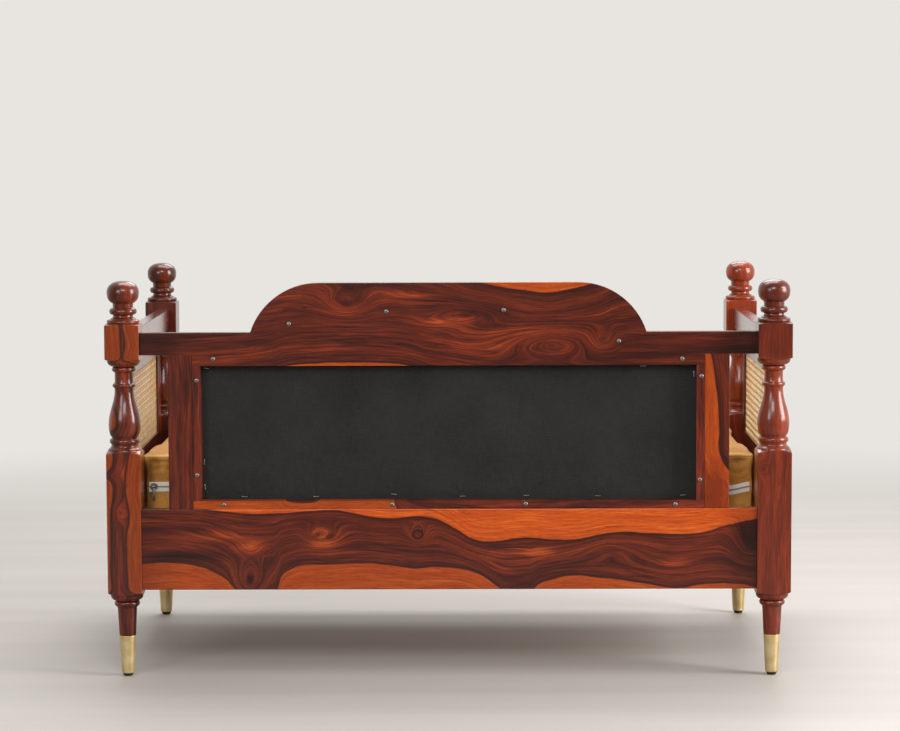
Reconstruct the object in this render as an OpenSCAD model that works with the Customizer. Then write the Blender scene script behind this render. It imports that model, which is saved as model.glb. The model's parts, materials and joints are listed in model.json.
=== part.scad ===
// Cane sofa: a two-seater with four turned posts, cane arm panels, an arched back and a loose seat cushion.
// Millimetres. +Z is up, the sofa faces -Y, its back is at +Y, and right is +X.
// The origin is on the floor, at the middle of the four posts.

/* [Overall] */
// Width over the posts
overall_w = 1320; // [1240:10:1700]
// Depth over the posts
overall_d = 716; // [660:4:800]

/* [Posts] */
// Side of the square stock that a post is turned from
post = 66; // [60:1:72]
// Height of the lower square block above the floor
leg_h = 168; // [150:1:200]
// Length of the lower square block
lower_block_h = 269; // [255:1:300]
// Length of the turned shaft between the two blocks
shaft_h = 185; // [170:1:230]
// Length of the upper square block
upper_block_h = 65; // [60:1:80]
// Height of the ball of the finial
ball_h = 47; // [42:1:54]
// Depth of cut at the ball, below the face of the stock
ball_cut = 1.9; // [0:0.1:6]
// Depth of cut at the widest part of the vase
vase_cut = 2; // [0:0.1:6]
// Depth of cut at the necks of the shaft
neck_cut = 15; // [10:0.5:17]

/* [Feet] */
// Height of the brass ferrule
ferrule_h = 74; // [50:1:80]
// Diameter of the ferrule at its foot
ferrule_foot_d = 24.4; // [20:0.2:28]
// Diameter of the ferrule at its rim
ferrule_rim_d = 31.6; // [30:0.2:36]
// Wall of the ferrule
ferrule_wall = 1; // [0.6:0.1:1.6]
// Height of the glide under the ferrule
glide_h = 6.2; // [4:0.1:10]
// Diameter of the glide's stem
glide_stem_d = 5; // [3:0.5:7]
// Length of the glide's stem above the ferrule's base
glide_stem_h = 20; // [10:1:30]

/* [Seat frame] */
// Height of the aprons
apron_h = 157; // [130:1:175]
// Thickness of the aprons
apron_t = 25; // [18:1:30]
// Step from the lower end of the block up to the apron
apron_step = 5.5; // [2:0.5:12]
// Step from the outer face of the post back to the apron
apron_inset = 4; // [1:0.5:7]
// Side of the square cleat that carries the slats
cleat = 25; // [18:1:32]
// Number of slats
slat_count = 9; // [7:1:11]
// Width of a slat
slat_w = 70; // [50:1:90]
// Thickness of a slat
slat_t = 18; // [14:1:22]
// Depth of the seat deck below the top of the aprons
deck_drop = 26.5; // [10:0.5:35]
// Height of the corner blocks
corner_block_h = 50; // [35:1:60]
// Length of a corner block along each apron
corner_block_l = 64; // [45:1:80]

/* [Back] */
// Thickness of the back frame
back_t = 22; // [18:0.5:24]
// Step from the rear face of the post to the back frame
back_inset = 7; // [4:0.5:9]
// Gap between a post and the stile of the back
side_gap = 54; // [40:1:80]
// Width of a back stile
stile_w = 47.5; // [35:0.5:60]
// Width of the beading strips round the opening
strip_w = 16; // [14:0.5:24]
// Step from the top of the upper block down to the rails
rail_drop = 15; // [8:0.5:18]
// Height of the back rail at its ends
rail_h = 43; // [38:1:48]
// Height of the tongue under the rail
tongue_h = 21; // [12:1:26]
// Rise of the arched crest above the rail
crest_rise = 95; // [60:1:120]
// Length of the flat on top of the crest
crest_flat = 500; // [360:10:560]
// Radius of the crest's shoulders
crest_r = 137; // [115:1:150]
// Thickness of the panel inside the back pad
panel_t = 12; // [8:0.5:15]
// Margin of bare wood round the back pad
pad_margin = 35; // [20:1:45]
// Thickness of the back pad at its middle
pad_t = 27; // [18:0.5:30]
// Thickness of the cloth on the back of the panel
cloth_t = 0.6; // [0.4:0.1:0.9]

/* [Arms] */
// Width of the arm rail
arm_w = 32; // [26:1:40]
// Step from the inner face of the post out to the arm rail
arm_step = 15; // [8:1:18]
// Radius of the outer top edge of the arm rail
arm_edge_r = 10; // [4:1:14]
// Thickness of the cane frame
cane_frame_t = 18; // [16:0.5:20]
// Step from the inner face of the post out to the cane frame
cane_frame_step = 34; // [28:1:38]
// Width of the cane frame's stiles
cane_stile_w = 56; // [40:1:70]
// Height of the cane frame's top rail
cane_top_h = 51; // [35:1:60]
// Height of the cane frame's bottom rail
cane_bottom_h = 82; // [60:1:95]
// Thickness of the lip that the cane rests against
cane_lip = 4; // [2:0.5:6]
// Width of the rebate behind the cane
cane_rebate = 12; // [8:0.5:16]
// Thickness of the cane
cane_t = 1.6; // [1:0.1:2.4]
// Gaps in the cane along the arm
cane_gaps_y = 20; // [12:1:28]
// Gaps in the cane up the arm
cane_gaps_z = 7; // [4:1:10]

/* [Cushion] */
// Thickness of the seat cushion at its seams
cushion_h = 123; // [95:1:150]
// Rise of the crowned top over its seam
cushion_crown = 7; // [2:0.5:10]
// Clearance between the cushion and the posts
cushion_clearance = 1.5; // [1:0.5:8]
// How far the seams draw in at the middle of each side
cushion_draw = 5; // [0:0.5:9]
// How far the rear face is drawn in along the zip
zip_recess = 11; // [9:0.5:14]
// Width of the zip tape
zip_w = 19; // [14:1:26]
// Length of the zip's pull tab
pull_l = 26; // [18:1:32]

/* [Fasteners] */
// Diameter of the screw heads
screw_head_d = 8.6; // [7:0.1:10]
// Diameter of the screw shanks
screw_shank_d = 3.4; // [2.6:0.1:4.2]

/* [Hidden] */
SLATS = [for (i = [1:slat_count]) str("slat_", i)];

// Clearances of the joinery
tenon_gap = 0.2;
tenon_end_gap = 1.5;
sleeve_gap = 0.1;
screw_gap = 0.1;
soft_gap = 0.3;
sheet_gap = 0.1;

// Radius of the eased edges of the boards
edge_r = 2;
$fn = 48;

// Post axes and faces
post_x = (overall_w - post) / 2;
post_y = (overall_d - post) / 2;
inner_x = post_x - post / 2;
inner_y = post_y - post / 2;

// Levels up the post
lower_top = leg_h + lower_block_h;
upper_bottom = lower_top + shaft_h;
upper_top = upper_bottom + upper_block_h;
ball_base = upper_top + 37;
post_top = ball_base + ball_h;

// Levels and planes of the seat frame
apron_bottom = leg_h + apron_step;
apron_top = apron_bottom + apron_h;
apron_outer_y = overall_d / 2 - apron_inset;
apron_inner_y = apron_outer_y - apron_t;
apron_outer_x = overall_w / 2 - apron_inset;
apron_inner_x = apron_outer_x - apron_t;
deck_top = apron_top - deck_drop;
cleat_top = deck_top - slat_t;

// Tenons of the rails into the posts: thickness, height, length. Each is rooted a little inside its rail.
apron_tenon = [12, apron_h - 40, 25];
rail_tenon = [10, rail_h - 14, 20];
tenon_root = 1;

// Levels and planes of the back
rail_top = upper_top - rail_drop;
rail_bottom = rail_top - rail_h;
tongue_bottom = rail_bottom - tongue_h;
crest_top = rail_top + crest_rise;
back_rear_y = overall_d / 2 - back_inset;
back_front_y = back_rear_y - back_t;
stile_outer = inner_x - side_gap;
stile_inner = stile_outer - stile_w;
opening_x = stile_inner - strip_w;
opening_bottom = apron_top + strip_w;
panel_rear_y = back_front_y - cloth_t;
panel_front_y = panel_rear_y - panel_t;
pad_x = stile_outer - pad_margin;
pad_drop = 8;
pad_bottom = apron_top - pad_drop;
pad_shoulder = rail_top - pad_margin;
pad_top = crest_top - pad_margin;
pad_crest_r = crest_r - pad_margin;

// Planes of the arms
arm_inner = inner_x + arm_step;
cane_inner = inner_x + cane_frame_step;
cane_open_y = inner_y - cane_stile_w;
cane_open_bottom = apron_top + cane_bottom_h;
cane_open_top = rail_bottom - cane_top_h;

// The cushion's outline and its zip
cushion_x = inner_x - cushion_clearance;
cushion_rear = panel_front_y - pad_t - 3;
cushion_front = -apron_inner_y + 3;
cushion_corner = 8;
cushion_bottom = deck_top + soft_gap;
cushion_top = cushion_bottom + cushion_h;
zip_z = cushion_bottom + cushion_h / 2;
zip_y = cushion_rear - zip_recess;
zip_half = cushion_x - cushion_corner;
zip_tape_t = 0.8;
slider_x = zip_half - 7;
slider_y = zip_y + 2 * soft_gap + zip_tape_t;
slider_t = 3.6;
bridge_rise = slider_t + 2.6;
pull_axis_y = slider_y + bridge_rise;

// Screws that hold the back panel, seen from behind: [across, up]
crest_screws = [[306, crest_top - 78], [119, crest_top - 55], [-106, crest_top - 53], [-327, crest_top - 113]];
top_screws = [[stile_inner - 40, tongue_bottom + 13.5], [44 - stile_inner, tongue_bottom + 11.5]];
strip_mid = opening_x + strip_w / 2;
side_screws = [[strip_mid, tongue_bottom - 28], [strip_mid + 1, opening_bottom + 50],
    [-strip_mid - 1, tongue_bottom - 22], [1 - strip_mid, opening_bottom + 39]];
bottom_screws = [[opening_x - 42, apron_top + 8], [110, apron_top + 8], [-148, apron_top + 9],
    [40 - opening_x, apron_top + 7.5]];
rail_screws = concat(crest_screws, top_screws);
screws = concat(rail_screws, side_screws, bottom_screws);
screw_depth = back_t + cloth_t + 8;

wood = "#7d3720";
inner_wood = "#a9764c";
brass = "#c9a55e";
cane_colour = "#d9b06f";
mustard = "#b0833a";
steel = "#9a9892";

// Points of an elliptic arc about [r, z]
function arc(r, z, rr, rz, from, to, steps) =
    [for (i = [0:steps]) let (a = from + (to - from) * i / steps) [r + rr * cos(a), z + rz * sin(a)]];

// A curve that leaves and meets its two ends upright, without the first point
function sweep(r0, z0, r1, z1, steps) =
    [for (i = [1:steps]) let (t = i / steps) [r0 + (r1 - r0) * (1 - cos(180 * t)) / 2, z0 + (z1 - z0) * t]];

// A half-round bead on the radius r_in, height h, reaching r_out
function bead(r_in, r_out, z, h) = arc(r_in, z, r_out - r_in, h / 2, -90, 90, 8);

// Radius left by a cut of that depth into the square stock
function turned(cut) = post / 2 - cut;

// Outline of half a post, from the end of the leg up to the top of the ball
leg_end = glide_h + 2;
ferrule_top = glide_h + ferrule_h;
corner_r = post / sqrt(2) + 0.5;
leg_profile = concat(
    [[0, leg_end], [ferrule_foot_d / 2 - ferrule_wall - sleeve_gap, leg_end],
     [ferrule_rim_d / 2 - ferrule_wall - sleeve_gap, ferrule_top], [ferrule_rim_d / 2, ferrule_top]],
    [[turned(14.2), leg_h - 33], [turned(12), leg_h - 30]],
    bead(turned(12), turned(8.3), leg_h - 24.5, 10),
    [[turned(10.4), leg_h - 18.6]],
    arc(turned(10.4), leg_h - 8.5, 9, 9.5, -90, 0, 6),
    [[turned(1), leg_h - 7]]);
shaft_profile = concat(
    [[corner_r, leg_h], [corner_r, lower_top], [turned(0), lower_top + 6]],
    sweep(turned(0), lower_top + 6, turned(6.9), lower_top + 15, 5),
    [[turned(6.9), lower_top + 18.5]],
    bead(turned(6.9), turned(3.6), lower_top + 24, 10),
    [[turned(8.3), lower_top + 30]],
    [[turned(7.6), lower_top + 32.5]],
    arc(turned(7.6), lower_top + 57, 7.6 - vase_cut, 24, -80, 0, 7),
    sweep(turned(vase_cut), lower_top + 57, turned(neck_cut - 0.4), upper_bottom - 62, 10),
    [[turned(neck_cut - 1), upper_bottom - 57.5]],
    bead(turned(neck_cut - 1), turned(10.5), upper_bottom - 53, 8),
    [[turned(neck_cut), upper_bottom - 46], [turned(neck_cut), upper_bottom - 28]],
    [[turned(neck_cut - 1.5), upper_bottom - 26.5]],
    bead(turned(neck_cut - 2), turned(9.8), upper_bottom - 21.5, 9),
    [[turned(neck_cut - 3), upper_bottom - 16]],
    arc(turned(13), upper_bottom - 5, 12.5, 11, -80, -10, 6),
    [[turned(0), upper_bottom - 4]]);
finial_profile = concat(
    [[corner_r, upper_bottom], [corner_r, upper_top - 1], [post / 2 + 6, upper_top + 1.2],
     [turned(0.5), upper_top + 2]],
    arc(turned(5), upper_top + 5.5, 4, 4, -50, 90, 6),
    [[turned(8), upper_top + 10]],
    sweep(turned(8), upper_top + 10, turned(13.6), upper_top + 15.5, 4),
    [[turned(13.6), upper_top + 18.5]],
    bead(turned(12), turned(6.5), upper_top + 25.5, 12.5),
    [[turned(13.4), upper_top + 33], [turned(13.3), ball_base]],
    arc(0, ball_base + 0.5 * ball_h, turned(ball_cut), ball_h / 2, -54, 90, 18));

// A rectangle whose four corners are eased, r = [lower left, lower right, upper right, upper left]
module eased(w, h, r = [edge_r, edge_r, edge_r, edge_r]) {
    difference() {
        square([w, h]);
        for (c = [[0, 0, r[0]], [1, 0, r[1]], [1, 1, r[2]], [0, 1, r[3]]])
            translate([c[0] * w, c[1] * h])
                mirror([c[0], 0])
                    mirror([0, c[1]])
                        difference() {
                            translate([-1, -1])
                                square(c[2] + 1);
                            translate([c[2], c[2]])
                                circle(c[2]);
                        }
    }
}

// A board along X from x0 to x1, with its section from y0 and z0
module board_x(x0, x1, y0, z0, t, h) {
    translate([x0, y0, z0])
        rotate([90, 0, 90])
            linear_extrude(x1 - x0)
                eased(t, h);
}

// A board along Y from y0 to y1, with its section from x0 and z0
module board_y(y0, y1, x0, z0, t, h, r = [edge_r, edge_r, edge_r, edge_r]) {
    translate([x0, y1, z0])
        rotate([90, 0, 0])
            linear_extrude(y1 - y0)
                eased(t, h, r);
}

// A board upright from z0 to z1, with its section from x0 and y0
module board_z(z0, z1, x0, y0, w, t) {
    translate([x0, y0, z0])
        linear_extrude(z1 - z0)
            eased(w, t);
}

// A block whose low corner is at a, sized d, grown by g on each side
module block(a, d, g = 0) {
    translate(a - [g, g, g])
        cube(d + 2 * [g, g, g]);
}

// The tenons of the rear apron, the right apron, the back rail and the right arm rail, at the rear right post.
// Grown by g they are the mortises. The other posts have them mirrored.
module rear_apron_tenon(g = 0, deep = 0) {
    block([inner_x - tenon_root, apron_inner_y + (apron_t - apron_tenon[0]) / 2,
           apron_bottom + (apron_h - apron_tenon[1]) / 2],
        [tenon_root + apron_tenon[2] + deep, apron_tenon[0], apron_tenon[1]], g);
}

module side_apron_tenon(g = 0, deep = 0) {
    block([apron_inner_x + (apron_t - apron_tenon[0]) / 2, inner_y - tenon_root,
           apron_bottom + (apron_h - apron_tenon[1]) / 2],
        [apron_tenon[0], tenon_root + apron_tenon[2] + deep, apron_tenon[1]], g);
}

module back_rail_tenon(g = 0, deep = 0) {
    block([inner_x - tenon_root, back_front_y + (back_t - rail_tenon[0]) / 2,
           rail_bottom + (rail_h - rail_tenon[1]) / 2],
        [tenon_root + rail_tenon[2] + deep, rail_tenon[0], rail_tenon[1]], g);
}

module arm_rail_tenon(g = 0, deep = 0) {
    block([arm_inner + (arm_w - rail_tenon[0]) / 2, inner_y - tenon_root, rail_bottom + (rail_h - rail_tenon[1]) / 2],
        [rail_tenon[0], tenon_root + rail_tenon[2] + deep, rail_tenon[1]], g);
}

// A post at the rear right corner: square stock, turned, with its mortises and the bore of the glide's stem
module post_body(rear) {
    color(wood)
        difference() {
            translate([post_x, post_y, 0])
                intersection() {
                    rotate_extrude($fn = 96)
                        polygon(concat(leg_profile, shaft_profile, finial_profile));
                    translate([-post / 2, -post / 2, 0])
                        cube([post, post, post_top + 1]);
                }
            rear_apron_tenon(tenon_gap, tenon_end_gap);
            side_apron_tenon(tenon_gap, tenon_end_gap);
            arm_rail_tenon(tenon_gap, tenon_end_gap);
            if (rear)
                back_rail_tenon(tenon_gap, tenon_end_gap);
            translate([post_x, post_y, leg_end - 1])
                cylinder(d = glide_stem_d + 2 * sleeve_gap, h = glide_stem_h + 1);
        }
}

// A tapered brass sleeve with a rolled rim, closed by a base with a hole for the glide's stem
module ferrule() {
    foot = ferrule_foot_d / 2;
    rim = ferrule_rim_d / 2;
    stem = glide_stem_d / 2 + 0.5;
    color(brass)
        translate([post_x, post_y, 0])
            rotate_extrude($fn = 96)
                polygon(concat(
                    [[stem, glide_h], [foot - 1, glide_h]],
                    arc(foot - 1, glide_h + 1, 1, 1, -90, 0, 4),
                    [[rim, ferrule_top - 2.2]],
                    arc(rim, ferrule_top - 1.2, 0.7, 1, -60, 60, 6),
                    [[rim, ferrule_top], [rim - ferrule_wall, ferrule_top], [foot - ferrule_wall, leg_end],
                     [stem, leg_end]]));
}

module glide() {
    color("#2b1c16")
        translate([post_x, post_y, 0]) {
            rotate_extrude($fn = 96)
                polygon(concat([[0, 0], [7.5, 0]], arc(7.5, 1, 1, 1, -90, 0, 3), [[10.6, glide_h - 1.2]],
                    [[10.6, glide_h], [0, glide_h]]));
            translate([0, 0, glide_h - 1])
                cylinder(d = glide_stem_d, h = 1 + leg_end - glide_h + glide_stem_h - 1);
        }
}

// The rear apron. The front one is its mirror image.
module long_apron() {
    color(wood) {
        board_x(-inner_x, inner_x, apron_inner_y, apron_bottom, apron_t, apron_h);
        for (side = [0, 1])
            mirror([side, 0, 0])
                rear_apron_tenon();
    }
}

// The right apron. The left one is its mirror image.
module side_apron() {
    color(wood) {
        board_y(-inner_y, inner_y, apron_inner_x, apron_bottom, apron_t, apron_h);
        for (side = [0, 1])
            mirror([0, side, 0])
                side_apron_tenon();
    }
}

// The rear cleat, along the inner face of the rear apron
module long_cleat() {
    color(inner_wood)
        board_x(-inner_x, inner_x, apron_inner_y - cleat, cleat_top - cleat, cleat, cleat);
}

module slat(i) {
    pitch = (2 * inner_x - 24 - slat_w) / (slat_count - 1);
    color(inner_wood)
        board_y(-apron_inner_y + 0.5, apron_inner_y - 0.5, -inner_x + 12 + (i - 1) * pitch, cleat_top, slat_w, slat_t);
}

// A glue block round the inner corner of the rear right post
module corner_block() {
    color(inner_wood)
        translate([0, 0, cleat_top - cleat - 12 - corner_block_h])
            linear_extrude(corner_block_h)
                polygon([[inner_x, inner_y], [inner_x, apron_inner_y], [inner_x - corner_block_l, apron_inner_y],
                    [apron_inner_x, inner_y - corner_block_l], [apron_inner_x, inner_y]]);
}

// The arched outline of the back: half width at the shoulders, levels, half length of the flat, shoulder radius
module arch(half, low, shoulder, top, flat, r) {
    translate([-half, low])
        square([2 * half, shoulder - low]);
    translate([-flat, low])
        square([2 * flat, top - low]);
    intersection() {
        for (side = [-1, 1])
            translate([side * flat, top - r])
                circle(r, $fn = 96);
        translate([-half, min(shoulder, top - r)])
            square([2 * half, top]);
    }
    translate([-flat - r, min(shoulder, top - r) - 1])
        square([2 * (flat + r), max(0, top - r - shoulder) + 1]);
}

// A flat piece with an outline in X and Z, from the plane y1 forward by t
module upright(y1, t) {
    translate([0, y1, 0])
        rotate([90, 0, 0])
            linear_extrude(t)
                children();
}

// Holes for the screws at the given places, in the frame or the panel
module screw_holes(places) {
    for (p = places)
        translate([p[0], back_rear_y + 1, p[1]])
            rotate([90, 0, 0])
                cylinder(d = screw_shank_d + 2 * screw_gap, h = screw_depth + 1.5);
}

// Rail, tongue and arched crest in one board, tenoned into the rear posts
module back_rail() {
    color(wood)
        difference() {
            union() {
                upright(back_rear_y, back_t) {
                    arch(inner_x, rail_bottom, rail_top, crest_top, crest_flat / 2, crest_r);
                    translate([-stile_inner, tongue_bottom])
                        square([2 * stile_inner, tongue_h + 1]);
                }
                for (side = [0, 1])
                    mirror([side, 0, 0])
                        back_rail_tenon();
            }
            screw_holes(rail_screws);
        }
}

// The right stile of the back, standing on the rear apron
module back_stile() {
    color(wood)
        board_z(apron_top, rail_bottom, stile_inner, back_front_y, stile_w, back_t);
}

// A beading strip on the right of the opening
module side_strip(places) {
    color(wood)
        difference() {
            translate([opening_x, back_front_y, opening_bottom])
                cube([strip_w, back_t, tongue_bottom - opening_bottom]);
            screw_holes(places);
        }
}

module bottom_beading() {
    color(wood)
        difference() {
            translate([-stile_inner, back_front_y, apron_top])
                cube([2 * stile_inner, back_t, strip_w]);
            screw_holes(bottom_screws);
        }
}

module pad_outline(shrink = 0) {
    arch(pad_x - shrink, pad_bottom + shrink, pad_shoulder - shrink, pad_top - shrink,
        crest_flat / 2, pad_crest_r - shrink);
}

module back_panel() {
    color("#c3a377")
        difference() {
            upright(panel_rear_y, panel_t)
                pad_outline(2);
            screw_holes(screws);
        }
}

module back_cloth() {
    color("#2e2d2a")
        upright(back_front_y, cloth_t)
            translate([-opening_x - 4, opening_bottom - 4])
                square([2 * opening_x + 8, tongue_bottom - opening_bottom + 8]);
}

// Round-headed wood screws through the back frame into the panel
module back_screws() {
    color(steel)
        for (p = screws)
            translate([p[0], back_rear_y, p[1]])
                rotate([-90, 0, 0])
                    union() {
                        rotate_extrude()
                            polygon(concat([[0, 0]], arc(0, 0, screw_head_d / 2, 1.8, 0, 90, 5)));
                        translate([0, 0, -screw_depth])
                            cylinder(d = screw_shank_d, h = screw_depth + 0.5);
                    }
}

// The arched outline of the pad as points, as a share f of the way out from its middle
pad_mid = (pad_bottom + pad_shoulder) / 2;
function pad_loop(f) =
    let (foot = asin(max(0, min(1, (pad_shoulder - pad_top + pad_crest_r) / pad_crest_r))),
         half = concat(
            [for (i = [0:4]) [pad_x * i / 4, pad_bottom]],
            [for (i = [1:4]) [pad_x, pad_bottom + (pad_shoulder - pad_bottom) * i / 4]],
            [[pad_x - 0.375 * (pad_x - crest_flat / 2 - pad_crest_r * cos(foot)), pad_shoulder]],
            [for (i = [0:6]) let (a = foot + (90 - foot) * i / 6)
                [crest_flat / 2 + pad_crest_r * cos(a), pad_top - pad_crest_r + pad_crest_r * sin(a)]],
            [[crest_flat / 4, pad_top], [0, pad_top]]),
         n = len(half),
         whole = concat(half, [for (i = [n - 2:-1:1]) [-half[i][0], half[i][1]]]))
    [for (p = whole) [p[0] * f, pad_mid + (p[1] - pad_mid) * f]];

// Rings of the pad from its flat back to its crowned front: [share of the outline, depth]
pad_rings = [[0.4, 0], [1, 0], [1, 0.5], [0.993, 0.72], [0.975, 0.86], [0.94, 0.93], [0.8, 0.97], [0.5, 0.995]];

// A closed skin over rings of equal length, with a middle point at each end
module skin(rings, first, last) {
    n = len(rings[0]);
    m = len(rings);
    points = concat([for (ring = rings) each ring], [first, last]);
    polyhedron(points, concat(
        [for (k = [0:m - 2], i = [0:n - 1]) let (j = (i + 1) % n) [k * n + i, k * n + j, (k + 1) * n + j]],
        [for (k = [0:m - 2], i = [0:n - 1]) let (j = (i + 1) % n) [k * n + i, (k + 1) * n + j, (k + 1) * n + i]],
        [for (i = [0:n - 1]) [m * n, (i + 1) % n, i]],
        [for (i = [0:n - 1]) [m * n + 1, (m - 1) * n + i, (m - 1) * n + (i + 1) % n]]));
}

module back_pad() {
    back = panel_front_y;
    color(mustard)
        skin([for (r = pad_rings) [for (p = pad_loop(r[0])) [p[0], back - r[1] * pad_t, p[1]]]],
            [0, back, pad_mid], [0, back - pad_t, pad_mid]);
}

// The right arm rail, tenoned into the upper blocks, with a well rounded outer edge
module arm_rail() {
    color(wood) {
        board_y(-inner_y, inner_y, arm_inner, rail_bottom, arm_w, rail_h, [edge_r, edge_r, arm_edge_r, edge_r]);
        for (side = [0, 1])
            mirror([0, side, 0])
                arm_rail_tenon();
    }
}

// The space behind the lip of the right cane frame, where the cane and its beading lie
module cane_bed() {
    translate([cane_inner + cane_lip, -cane_open_y - cane_rebate, cane_open_bottom - cane_rebate])
        cube([cane_frame_t, 2 * (cane_open_y + cane_rebate), cane_open_top - cane_open_bottom + 2 * cane_rebate]);
}

module cane_stile() {
    color(wood)
        difference() {
            translate([cane_inner, cane_open_y, apron_top])
                cube([cane_frame_t, cane_stile_w, rail_bottom - apron_top]);
            cane_bed();
        }
}

module cane_rail(z, h) {
    color(wood)
        difference() {
            translate([cane_inner, -cane_open_y, z])
                cube([cane_frame_t, 2 * cane_open_y, h]);
            cane_bed();
        }
}

// The cane sheet, with its open gaps as a net of staggered hexagons
module cane_sheet() {
    half = cane_open_y + cane_rebate - sheet_gap;
    low = cane_open_bottom - cane_rebate + sheet_gap;
    high = cane_open_top + cane_rebate - sheet_gap;
    step_y = 2 * cane_open_y / (cane_gaps_y + 0.5);
    step_z = (cane_open_top - cane_open_bottom) / cane_gaps_z;
    r = 0.3 * min(step_y, step_z);
    centres = [for (k = [0:cane_gaps_z - 1], i = [0:cane_gaps_y - 1])
        [-cane_open_y + (i + 0.5 + (k % 2) / 2) * step_y, cane_open_bottom + (k + 0.5) * step_z]];
    hexes = [for (c = centres, i = [0:5]) c + r * [cos(60 * i), sin(60 * i)]];
    rim = [[-half, low], [half, low], [half, high], [-half, high]];
    color(cane_colour)
        translate([cane_inner + cane_lip, 0, 0])
            rotate([90, 0, 90])
                linear_extrude(cane_t)
                    polygon(concat(rim, hexes), concat([[0, 1, 2, 3]],
                        [for (h = [0:len(centres) - 1]) [for (i = [0:5]) 4 + 6 * h + i]]));
}

// Four strips that hold the cane in its rebate
module cane_beading() {
    x0 = cane_inner + cane_lip + cane_t;
    t = cane_frame_t - cane_lip - cane_t - 1;
    w = cane_rebate - sheet_gap;
    half = cane_open_y + w;
    color(wood) {
        for (z = [cane_open_bottom - w, cane_open_top])
            translate([x0, -half, z])
                cube([t, 2 * half, w]);
        for (side = [0, 1])
            mirror([0, side, 0])
                translate([x0, cane_open_y, cane_open_bottom + sheet_gap])
                    cube([t, w, cane_open_top - cane_open_bottom - 2 * sheet_gap]);
    }
}

// The cushion's outline at the share h of its height: rounded corners, seams drawn in between them,
// and a rear face that runs straight along the zip
function hollow(t) = cushion_draw * (1 - t * t);
function cushion_loop(h, f) =
    let (c = cushion_corner,
         ax = cushion_x - c,
         ay = (cushion_rear - cushion_front) / 2 - c,
         my = (cushion_rear + cushion_front) / 2,
         w = min(1, 4 * h * (1 - h) / 0.96),
         long = 14,
         short = 8,
         zip = w * zip_recess,
         rear = [for (i = [1:long - 1]) let (t = 1 - 2 * i / long)
             [ax * t, ay + c - hollow(t) * (1 - w) - zip]],
         left = [for (i = [1:short - 1]) let (t = 1 - 2 * i / short) [-ax - c + hollow(t), ay * t]],
         front = [for (i = [1:long - 1]) let (t = 2 * i / long - 1) [ax * t, -ay - c + hollow(t)]],
         right = [for (i = [1:short - 1]) let (t = 2 * i / short - 1) [ax + c - hollow(t), ay * t]],
         corner = [for (q = [0:3]) [for (i = [0:3]) let (a = 90 * q + 30 * i) [c * cos(a), c * sin(a)]]],
         loop = concat(
             [for (p = corner[0]) [ax + p[0], ay + p[1] - zip]], rear,
             [for (p = corner[1]) [-ax + p[0], ay + p[1] - zip]], left,
             [for (p = corner[2]) [-ax + p[0], -ay + p[1]]], front,
             [for (p = corner[3]) [ax + p[0], -ay + p[1]]], right))
    [for (p = loop) [p[0] * f, my + p[1] * f]];

// Shares of the outline at which the crowned top and the flat underside have a ring
crown_shares = [0.35, 0.7, 0.88, 0.97];
function crown(f) = cushion_crown * (1 - pow(f, 4));
module seat_cushion() {
    sides = [0, 0.12, 0.26, 0.4, 0.6, 0.74, 0.88, 1];
    under = [for (f = crown_shares) [for (p = cushion_loop(0, f)) [p[0], p[1], cushion_bottom]]];
    wall = [for (h = sides) [for (p = cushion_loop(h, 1)) [p[0], p[1], cushion_bottom + h * cushion_h]]];
    over = [for (i = [3:-1:0]) let (f = crown_shares[i])
        [for (p = cushion_loop(1, f)) [p[0], p[1], cushion_top + crown(f)]]];
    middle = (cushion_rear + cushion_front) / 2;
    color(mustard)
        skin(concat(under, wall, over), [0, middle, cushion_bottom],
            [0, middle, cushion_top + cushion_crown]);
}

module zip_tape() {
    color("#e6e0cf")
        translate([-zip_half, zip_y + soft_gap, zip_z - zip_w / 2])
            cube([2 * zip_half, zip_tape_t, zip_w]);
}

// The slider at the closed end of the zip: two wings joined by a neck, with a bridge for the pull
module zip_slider() {
    color(steel)
        translate([slider_x, slider_y, zip_z]) {
            rotate([-90, 0, 0])
                linear_extrude(slider_t)
                    polygon([[-7, -3.5], [-2, -5.5], [5, -5.5], [7, -3], [7, 3], [5, 5.5], [-2, 5.5], [-7, 3.5]]);
            for (side = [-1, 1])
                translate([side * 4.2 - 0.8, slider_t - 0.5, -1.2])
                    cube([1.6, 4.2, 2.4]);
            translate([-5, bridge_rise, 0])
                rotate([0, 90, 0])
                    cylinder(d = 1.8, h = 10);
        }
}

// The pull tab, hanging from the bridge
module zip_pull() {
    color(steel)
        translate([slider_x, pull_axis_y, zip_z])
            difference() {
                union() {
                    rotate([0, 90, 0])
                        cylinder(d = 4.2, h = 5.6, center = true);
                    translate([-2.8, -0.7, -pull_l])
                        cube([5.6, 1.4, pull_l]);
                }
                rotate([0, 90, 0])
                    cylinder(d = 2.4, h = 8, center = true);
                translate([0, 0, 5 - pull_l])
                    rotate([90, 0, 0])
                        cylinder(d = 2.6, h = 4, center = true);
            }
}

// Draws a piece made for the right or the rear at the left or the front
module left() { mirror([1, 0, 0]) children(); }
module front() { mirror([0, 1, 0]) children(); }

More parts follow.
